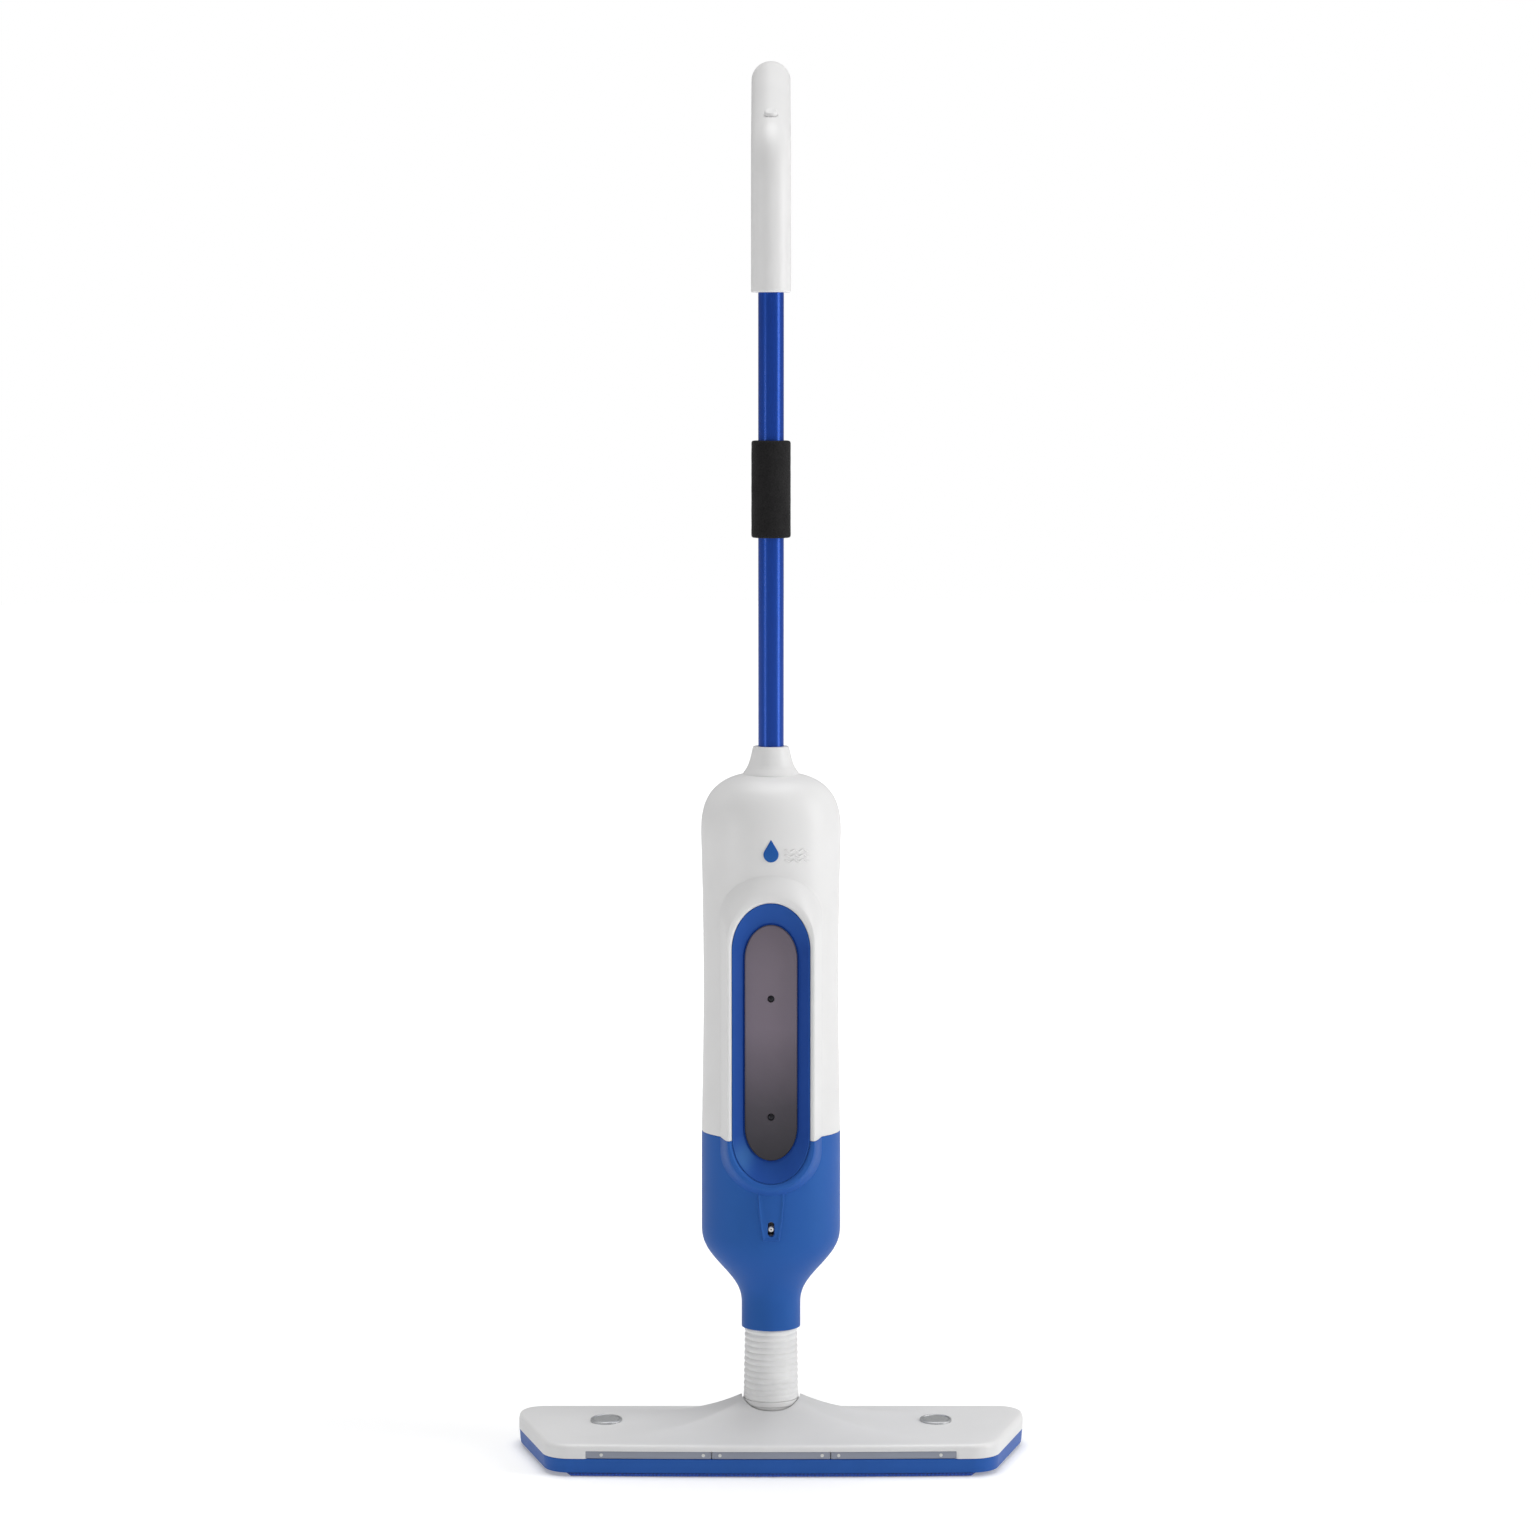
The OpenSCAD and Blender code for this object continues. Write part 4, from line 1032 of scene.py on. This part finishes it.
def make_upper_rear():
    columns = np.linspace(math.radians(0.15), math.pi - math.radians(0.15), 90)
    heights = [*np.linspace(SEAM_Z + SEAM_GAP, DOME_Z, 70), *dome_levels()[1:]]
    shape = Shape()
    shape.grid([on_body(columns, z) for z in heights])
    skin = shape.build("upper_rear_moulding", 33)
    outward(skin)
    thicken(skin)
    wells = [rod_cutter(3.2, (x, 8, z), (x, 70, z)) for x, z in SHELL_SCREWS]
    carve(skin, [*wells, rod_cutter(14.4, (0, 20, FILLER_Z), (0, 70, FILLER_Z))], 33)

    def details(extra):
        screw_wells(extra, SHELL_SCREWS, 3.2, 12)
        lathe(extra, [(14.4, 46.5), (19, 46.5), (19, 52), (14.4, 52)], 0.6, (0, 0, FILLER_Z), (0, 1, 0), 80)

    add_island(skin, details)
    dress(skin, "housing", "white_shell", ["upper_rear_shell"])


def make_lower_shell():
    far_edge = 206.0
    rows, outer_angle, outer_z = window_rows(False, far_edge)
    shape = Shape()
    shape.grid(rows)
    corner = SIDE_STEPS + ARCH_STEPS // 4
    rear_columns = np.linspace(math.pi, 0, 90)
    shape.grid([on_body(rear_columns, z) for z in outer_z[:corner + 1]])
    columns = np.concatenate([front_columns(outer_angle), (rear_columns[::-1] + 2 * math.pi)[1:-1]])
    heights = np.concatenate([np.linspace(far_edge, 131, 44), np.linspace(131, NECK_Z, 8)[1:]])
    shape.grid([on_body(columns, z) for z in heights], around=True)
    skin = shape.build("lower_moulding", 33)
    outward(skin)
    thicken(skin)
    holes = [rod_cutter(2.8, (0, 10, z), (0, 60, z)) for z in (124, 138)]
    carve(skin, [*holes, slot_cutter([(-0.5, -6.0), (-0.5, 8.0)])], 33, "FAST")
    dress(skin, "housing", "blue_shell", ["lower_shell"])


def make_bowl():
    """Glossy blue surround that dips from the rim to the window."""
    front, deep, back = LIP_Y + 2.0, WINDOW_Y + 1.6, WINDOW_Y + 3.4
    edge = [(back, -0.2), (front + 0.5, -0.2), (front + 0.12, -0.35), (front, -0.8)]
    rings = [slot_ring(OPENING, y, grow) for y, grow in edge]
    for t in np.linspace(0, 1, 22):
        rings.append(slot_ring(between(OPENING, PANE, t), mix(front + 0.08, deep, t), mix(-1.1, 1.3, t)))
    lip = [(deep - 0.45, 0.95), (deep - 0.75, 0.55), (deep - 0.55, 0.2), (deep + 0.2, 0.12), (back, 0.12)]
    rings += [slot_ring(PANE, y, grow) for y, grow in lip]
    dress(looped("window_surround", rings, 50), "housing", "blue_bowl", ["window_bowl"])


def make_window():
    edge = [(2.4, -0.3), (0.7, -0.05), (0.3, -0.15), (0.1, -0.5)]
    edge += [(0.08 - 0.35 * float(ease(d / 18)), -d) for d in (1.5, 4, 8, 13, 18)]
    pane = solid("window_pane", [slot_ring(PANE, WINDOW_Y + back, grow) for back, grow in edge], 50)
    carve(pane, [rod_cutter(3.1, (0, -60, z), (0, WINDOW_Y + 1.2, z)) for z in WINDOW_SCREWS], 50)
    dress(pane, "housing", "smoked_plastic", ["window"])
    screws = Shape()
    profile = [(0, -1.3), (0.7, -1.2), (1.6, -0.9), (2.3, -0.45), (2.75, 0.2), (2.85, 0.9), (1.2, 1.1),
               (1.2, 8), (0, 8)]
    for z in WINDOW_SCREWS:
        lathe(screws, profile, 0.25, (0, WINDOW_Y + 0.2, z), (0, 1, 0), 40)
    heads = screws.build("window_screw_heads", 40)
    carve(heads, [cross_cutter(z, turn) for z in WINDOW_SCREWS for turn in (0, math.pi / 2)], 40)
    dress(heads, "housing", "steel", ["window_screws"], DARK_SCREW)


def cross_cutter(z, turn):
    """One arm of a window screw's cross recess, cut along Y."""
    long, wide, deep = 1.45, 0.3, 0.8
    c, s = math.cos(turn), math.sin(turn)
    ends = [(-long, -wide), (long, -wide), (long, wide), (-long, wide)]
    corners = [(a * c - b * s, z + a * s + b * c) for a, b in ends]
    return solid("cutter", [[(x, WINDOW_Y - 1.2 + d, h) for x, h in corners] for d in (-deep, deep)])


def upright(rings, y):
    """Stands flat rings up: their +Z becomes -Y, measured from the plane y."""
    rings = np.asarray(rings, float)
    return np.stack([rings[..., 0], y - rings[..., 2], rings[..., 1]], -1)


def make_drop():
    """Plain drop let into the shell above the window."""
    outline = rounded([*arc((0, 0), DROP_R, 150, 390, 44), (0, 2 * DROP_R)], 0.35, 3)
    rings = plate_rings([(x, z + DROP_Z) for x, z in outline], 0, 1.9, 0.35)
    dome = [(0.72 * x, 0.72 * z + 0.6 + DROP_Z, 2.05) for x, z in outline]
    drop = solid("drop_mark", upright([*rings, dome], -50.9), 50)
    dress(drop, "housing", "emblem_blue", ["drop_emblem"])


def tongue_ring(d, rise, squeeze=1.0):
    """Ring of the nozzle's cover plate, drawn in by d, rise above the shell's skin."""
    t = np.linspace(0, 1, 14)
    x = (7.4 + 4.1 * np.sin(t * math.pi / 2) - d) * squeeze
    z = mix(TONGUE[0] + d, TONGUE[1] - d, t)
    corners = [*zip(-x[::-1], z[::-1]), *zip(x, z)]
    ends = (0, len(t) - 1, len(t), 2 * len(t) - 1)
    kept = [i for i in range(len(corners)) if i not in ends]
    ring = np.array(rounded(corners, max(0.2, 1.3 - d), 4, kept))
    skin = -half_depth(ring[:, 1]) * np.sqrt(1 - (ring[:, 0] / half_width(ring[:, 1])) ** 2)
    return np.stack([ring[:, 0], skin - rise, ring[:, 1]], 1)


def slot_cutter(levels):
    """Cutter for the nozzle's slot, drawn in by d at height h for each (d, h) of levels."""
    end = [*arc((0, NOZZLE_Z + 3.6), 2.7, 0, 180, 24), *arc((0, NOZZLE_Z - 3.6), 2.7, 180, 360, 24)]
    return solid("cutter", upright(levelled(end, levels), -49.6))


def make_nozzle_cover():
    """Tapered cover plate over the nozzle: a low tongue with a bead along its edge and a long slot."""
    bead = [(0.0, -4.2), (0.0, 0.0), (0.1, 0.6), (0.4, 1.15), (0.9, 1.4), (1.4, 1.2), (1.9, 0.75),
            (2.6, 0.45), (4.0, 0.35)]
    rings = [tongue_ring(d, rise) for d, rise in bead]
    rings += [tongue_ring(4.0, 0.35, k) for k in (0.6, 0.3, 0.05)]
    plate = solid("nozzle_plate", rings, 40)
    carve(plate, [slot_cutter([(0.0, -6.0), (0.0, 1.6), (-0.35, 2.5), (-0.9, 3.2), (-1.7, 3.8)])], 30)
    dress(plate, "housing", "blue_shell", ["nozzle_cover"])


def make_nozzle():
    hinge = (0, NOZZLE_HINGE_Y, NOZZLE_Z)
    tip = [(0.7, 0), (2.5, 0), (2.5, 7.2), (2.2, 8.8), (1.5, 9.7), (1.1, 9.9), (0.7, 9.5)]
    shape = Shape()
    lathe(shape, tip, 0.35, hinge, (0, -1, 0), 40)
    lathe(shape, [(0, -4.3), (3, -4.3), (3, 4.3), (0, 4.3)], 0.4, hinge, (1, 0, 0), 48)
    dress(shape.build("nozzle_tip"), "nozzle", "white_shell", ["nozzle"])


def make_filler_cap():
    """Cap with a fluted rim and a rounded turning bar."""
    shape = Shape()
    angle = np.arange(240) * 2 * math.pi / 240
    flutes = 0.35 * (0.5 - 0.5 * np.cos(angle * 40)) ** 2
    levels = [(10.9, 44.0, 0), (10.9, 52.3, 0), (17.2, 52.3, 0), (17.7, 52.5, 1), (17.9, 52.9, 1),
              (17.9, 55.0, 1), (17.6, 55.6, 1), (17.0, 55.95, 0), (15.5, 56.0, 0), (14.9, 55.75, 0),
              (6.0, 55.65, 0)]
    rings = [[((r - f * cut) * math.cos(a), (r - f * cut) * math.sin(a), h) for a, f in zip(angle, flutes)]
             for r, h, cut in levels]
    shape.stack(placed(rings, (0, 0, FILLER_Z), (0, 1, 0)))
    bar = rounded([(-14.6, -3), (14.6, -3), (14.6, 3), (-14.6, 3)], 2.6, 6)
    rings = np.asarray(plate_rings(bar, 55.4, 59.9, 1.1))
    shape.stack(np.stack([rings[..., 0], rings[..., 2], rings[..., 1] + FILLER_Z], -1))
    dress(shape.build("filler_cap_knob", 40), "filler_cap", "blue_shell", ["filler_cap"])


# ======== collar and pole ========


def make_collar():
    foot = TOP_Z - 1.1
    outer = [(16.6, 575), (16.9, 576), (16.9, foot), (24.1, foot), (24.6, foot + 0.5),
             (24.5, TOP_Z + 0.6), (23.7, 598), (22.4, 599.9), (21.0, 602), (19.6, 604.9), (18.5, 608.2),
             (17.6, 611.4), (16.9, 614.4), (16.3, 617.2), (15.9, 619.2), (15.5, 620.3), (14.9, 620.6),
             (11.4, 620.6), (11.12, 620.2), (11.12, 575)]
    shape = Shape()
    lathe(shape, outer, 0.9, n=112, steps=4)
    dress(shape.build("collar_moulding", 45), "housing", "white_shell", ["collar"])


def make_tubes():
    inner, eased = TUBE_R - TUBE_WALL, TUBE_R - 0.3
    for half, z0, z1 in (("lower", 575, TUBE_JOINT - 0.1), ("upper", TUBE_JOINT + 0.1, 1075)):
        skin = [(TUBE_R, z) for z in np.linspace(z0 + 0.4, z1 - 0.4, 24)]
        rings = turned([(eased, z0), *skin, (eased, z1), (inner, z1), (inner, z0)])
        dress(looped(f"tube_{half}", rings), "housing", "tube_paint", [f"{half}_tube"])


def make_foam():
    """Foam sleeve: rounded ends, and a skin that isn't quite even."""
    z0, z1 = FOAM
    outer = [(14.2, z0 + 0.1), (15.9, z0 + 0.35), (16.7, z0 + 1.1)]
    outer += [(FOAM_R, z) for z in np.linspace(z0 + 2.4, z1 - 2.4, 60)]
    outer += [(16.7, z1 - 1.1), (15.9, z1 - 0.35), (14.2, z1 - 0.1)]
    profile = [(TUBE_R + 0.12, z0 + 0.3), *outer, (TUBE_R + 0.12, z1 - 0.3)]
    rings = np.asarray(turned(profile, 120))
    for ring in rings:
        for p in ring:
            radius = math.hypot(p[0], p[1])
            if radius > 13:
                lump = noise.noise(Vector(p) * 0.11) * 0.16 + noise.noise(Vector(p) * 0.6) * 0.05
                p[:2] *= 1 + (lump - 0.12) / radius
    sleeve = dress(looped("foam_grip", rings, 60), "housing", "foam_black", ["foam_sleeve"])


# ======== grip ========


def arm_point(s, out):
    """Point beyond the bend: s along the arm and out from its axis, on the front side."""
    y = BEND_R * (1 - math.cos(BEND_TURN)) + s * math.cos(ARM_RISE)
    z = BEND_Z + BEND_R * math.sin(BEND_TURN) + s * math.sin(ARM_RISE)
    return (0, y - out * math.sin(ARM_RISE), z + out * math.cos(ARM_RISE))


def grip_stations():
    """Stations along the grip: path point (y, z), path direction in radians above +Y, and the radii."""
    up = math.pi / 2
    mouth = TUBE_R + 0.15
    ends = [(0, GRIP_R - 0.8, mouth), (0.25, GRIP_R - 0.25, mouth), (0.9, GRIP_R, mouth),
            (3, GRIP_R, mouth), (3.2, GRIP_R, GRIP_IN)]
    stations = [(0, GRIP_Z + rise, up, outer, inner) for rise, outer, inner in ends]
    stations += [(0, z, up, GRIP_R, GRIP_IN) for z in np.linspace(GRIP_Z + 6, BEND_Z, 44, endpoint=False)]
    for a in np.linspace(0, BEND_TURN, 30, endpoint=False):
        y, z = BEND_R * (1 - math.cos(a)), BEND_Z + BEND_R * math.sin(a)
        stations.append((y, z, up - a, GRIP_R, GRIP_IN))
    for s in np.linspace(0, ARM_LEN, 60, endpoint=False):
        stations.append((*arm_point(s, 0)[1:], ARM_RISE, GRIP_R, GRIP_IN))
    for a in np.linspace(0, math.radians(89.6), 22):
        reach, across = math.sin(a), math.cos(a)
        skin = arm_point(ARM_LEN + GRIP_R * reach, 0)[1:]
        hollow = arm_point(ARM_LEN + GRIP_IN * reach, 0)[1:]
        stations.append((*skin, ARM_RISE, GRIP_R * across, GRIP_IN * across, hollow))
    return stations


def grip_half(name, rear):
    """Front or rear half of the bent grip, with a small step along the parting line."""
    n = 44
    start = 0.25 if rear else 180.25
    angles = np.radians(np.linspace(start, start + 179.5, n + 1))
    edge = np.zeros(n + 1)
    edge[[0, -1]] = 0.22
    edge[[1, -2]] = 0.05

    def point(y, z, way, r, a):
        return (r * math.cos(a), y + r * math.sin(a) * math.sin(way), z - r * math.sin(a) * math.cos(way))

    rings = []
    for y, z, way, outer, inner, *deep in grip_stations():
        inner_y, inner_z = deep[0] if deep else (y, z)
        ring = [point(y, z, way, outer - min(e, outer * 0.3), a) for a, e in zip(angles, edge)]
        ring += [point(inner_y, inner_z, way, inner, a) for a in angles[::-1]]
        rings.append(ring)
    shape = Shape()
    shape.grid(rings, around=True)
    for ring in (rings[0], rings[-1]):
        flat = np.asarray(ring)
        shape.grid([flat[:n + 1], flat[n + 1:][::-1]])
    return shape.build(name, 40)


def make_grip():
    front = grip_half("grip_front_moulding", False)
    carve(front, [rod_cutter(7.35, arm_point(BUTTON_S, GRIP_R - 1), arm_point(BUTTON_S, GRIP_R + 9)),
                  rod_cutter(BUTTON_R + 0.3, arm_point(BUTTON_S, 8), arm_point(BUTTON_S, GRIP_R + 9))], 40)
    dress(front, "housing", "white_shell", ["grip_front_shell"])
    rear = grip_half("grip_rear_moulding", True)
    wells = [rod_cutter(2.7, (x, 9, 1092), (x, 40, 1092)) for x in (-9, 9)]
    wells += [rod_cutter(2.7, arm_point(s, -9), arm_point(s, -40)) for s in (70, 108)]
    carve(rear, wells, 40)

    def tubes(extra):
        for x in (-9, 9):
            lathe(extra, [(2.7, 7), (3.9, 7), (3.9, 13.2), (2.7, 13.2)], 0.25, (x, 0, 1092), (0, 1, 0), 36)
        for s in (70, 108):
            lathe(extra, [(2.7, 7), (3.9, 7), (3.9, 15.6), (2.7, 15.6)], 0.25, arm_point(s, 0), -ARM_OUT, 36)

    add_island(rear, tubes)
    dress(rear, "housing", "white_shell", ["grip_rear_shell"])


def make_button():
    """Thumb button: a crowned cap with a shallow dish, its flange and its stem."""
    profile = [(0, -2.6), (3.5, -2.6), (3.5, 10.7), (7.2, 10.7), (7.2, 12.3), (BUTTON_R, 12.3),
               (BUTTON_R, 18.9), (5.5, 19.7), (4.6, 20.1), (3.4, 20.05), (1.8, 19.8), (0, 19.7)]
    shape = Shape()
    lathe(shape, profile, 0.4, arm_point(BUTTON_S, 0), ARM_OUT, 72)
    dress(shape.build("thumb_button_cap", 45), "thumb_button", "white_shell", ["thumb_button"])


def make_spring(name, cad_name, start, up, size):
    """Coil spring wound from start along up, on a mesh of its own."""
    radius, thick, length, turns = size
    base, up, side = Vector(start), Vector(up).normalized(), Vector((1, 0, 0))
    other = up.cross(side)
    path = []
    for t in np.linspace(0, 1, 24 * turns + 1).tolist():
        angle = 2 * math.pi * turns * t
        around = radius * (math.cos(angle) * side + math.sin(angle) * other)
        path.append(base + around + mix(thick, length - thick, t) * up)
    spring = dress(solid(name, swept(path, thick, 10), 50), "housing", "steel", [cad_name])
    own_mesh(spring)


def make_springs():
    make_spring("pump_coil", "pump_spring", (0, 0, 506.1), (0, 0, 1), (6.4, 0.7, 38.8, 6))
    make_spring("button_coil", "button_spring", arm_point(BUTTON_S, 3.05), ARM_OUT, (5, 0.45, 7.6, 3))


# ======== stage ========


def for_camera(tree, elsewhere):
    """A value that is 1 for what the camera sees, and elsewhere for all other light."""
    seen = node(tree, "ShaderNodeLightPath")
    level = node(tree, "ShaderNodeMapRange", To_Min=elsewhere, To_Max=1.0)
    wire(tree, seen, "Is Camera Ray", level, "Value")
    return level


def make_floor():
    """White floor that glows more with distance, so that it runs into the white background."""
    bpy.ops.mesh.primitive_circle_add(vertices=96, radius=14, fill_type="NGON", location=(0, 0, -0.0005))
    floor = bpy.context.object
    floor.name = "floor"
    material, tree, shader = new_material("floor")
    tint(tree, shader, spot_noise(tree, 0.6, 2.0), (0.80, 0.80, 0.80), (0.82, 0.82, 0.82))
    settle(shader, Roughness=0.8, Emission_Color=(1, 1, 1, 1))
    reach = in_place(tree, "ShaderNodeVectorMath", operation="LENGTH")
    glow = node(tree, "ShaderNodeMapRange", From_Min=0.4, From_Max=2.2, To_Min=0.27, To_Max=0.8)
    wire(tree, reach, "Value", glow, "Value")
    strength = node(tree, "ShaderNodeMath", operation="MULTIPLY")
    wire(tree, glow, "Result", strength, 0)
    wire(tree, for_camera(tree, 0.5), "Result", strength, 1)
    wire(tree, strength, 0, shader, "Emission Strength")
    floor.data.materials.append(material)


def area_light(name, place, target, size, power):
    light = bpy.data.lights.new(name, "AREA")
    light.shape = "RECTANGLE"
    light.size, light.size_y = size
    light.energy = power
    obj = bpy.data.objects.new(name, light)
    obj.location = place
    obj.rotation_euler = (Vector(target) - Vector(place)).to_track_quat("-Z", "Y").to_euler()
    bpy.context.scene.collection.objects.link(obj)


def make_stage():
    make_floor()
    world = bpy.data.worlds.new("studio")
    bpy.context.scene.world = world
    world.use_nodes = True
    tree = world.node_tree
    back = tree.nodes["Background"]
    settle(back, Color=(1, 1, 1, 1))
    wire(tree, for_camera(tree, 0.31), "Result", back, "Strength")
    camera = bpy.data.cameras.new("camera")
    camera.lens = 100.58
    camera.sensor_width = 36
    camera.clip_end = 60
    obj = bpy.data.objects.new("camera", camera)
    obj.location = (-0.0013, -3.695, 0.943)
    obj.rotation_euler = (math.radians(90 - 5.3), 0, 0)
    bpy.context.scene.collection.objects.link(obj)
    bpy.context.scene.camera = obj
    bpy.context.scene.view_settings.view_transform = "Standard"
    area_light("key", (2.6, -0.75, 1.15), (0, 0, 0.6), (0.9, 2.4), 38)
    area_light("fill", (-2.2, -1.6, 0.4), (0, 0, 0.2), (0.5, 1.2), 9.5)
    area_light("top", (0.2, 0.6, 9.0), (0, 0, 0), (5.8, 5.8), 510)


make_stage()
dress_cad_nodes()
make_pad()
make_base()
make_cover()
make_strips()
make_badges()
make_boot()
make_lower_shell()
make_upper_front()
make_upper_rear()
make_bowl()
make_window()
make_drop()
make_nozzle_cover()
make_nozzle()
make_filler_cap()
make_collar()
make_tubes()
make_foam()
make_grip()
make_button()
make_springs()
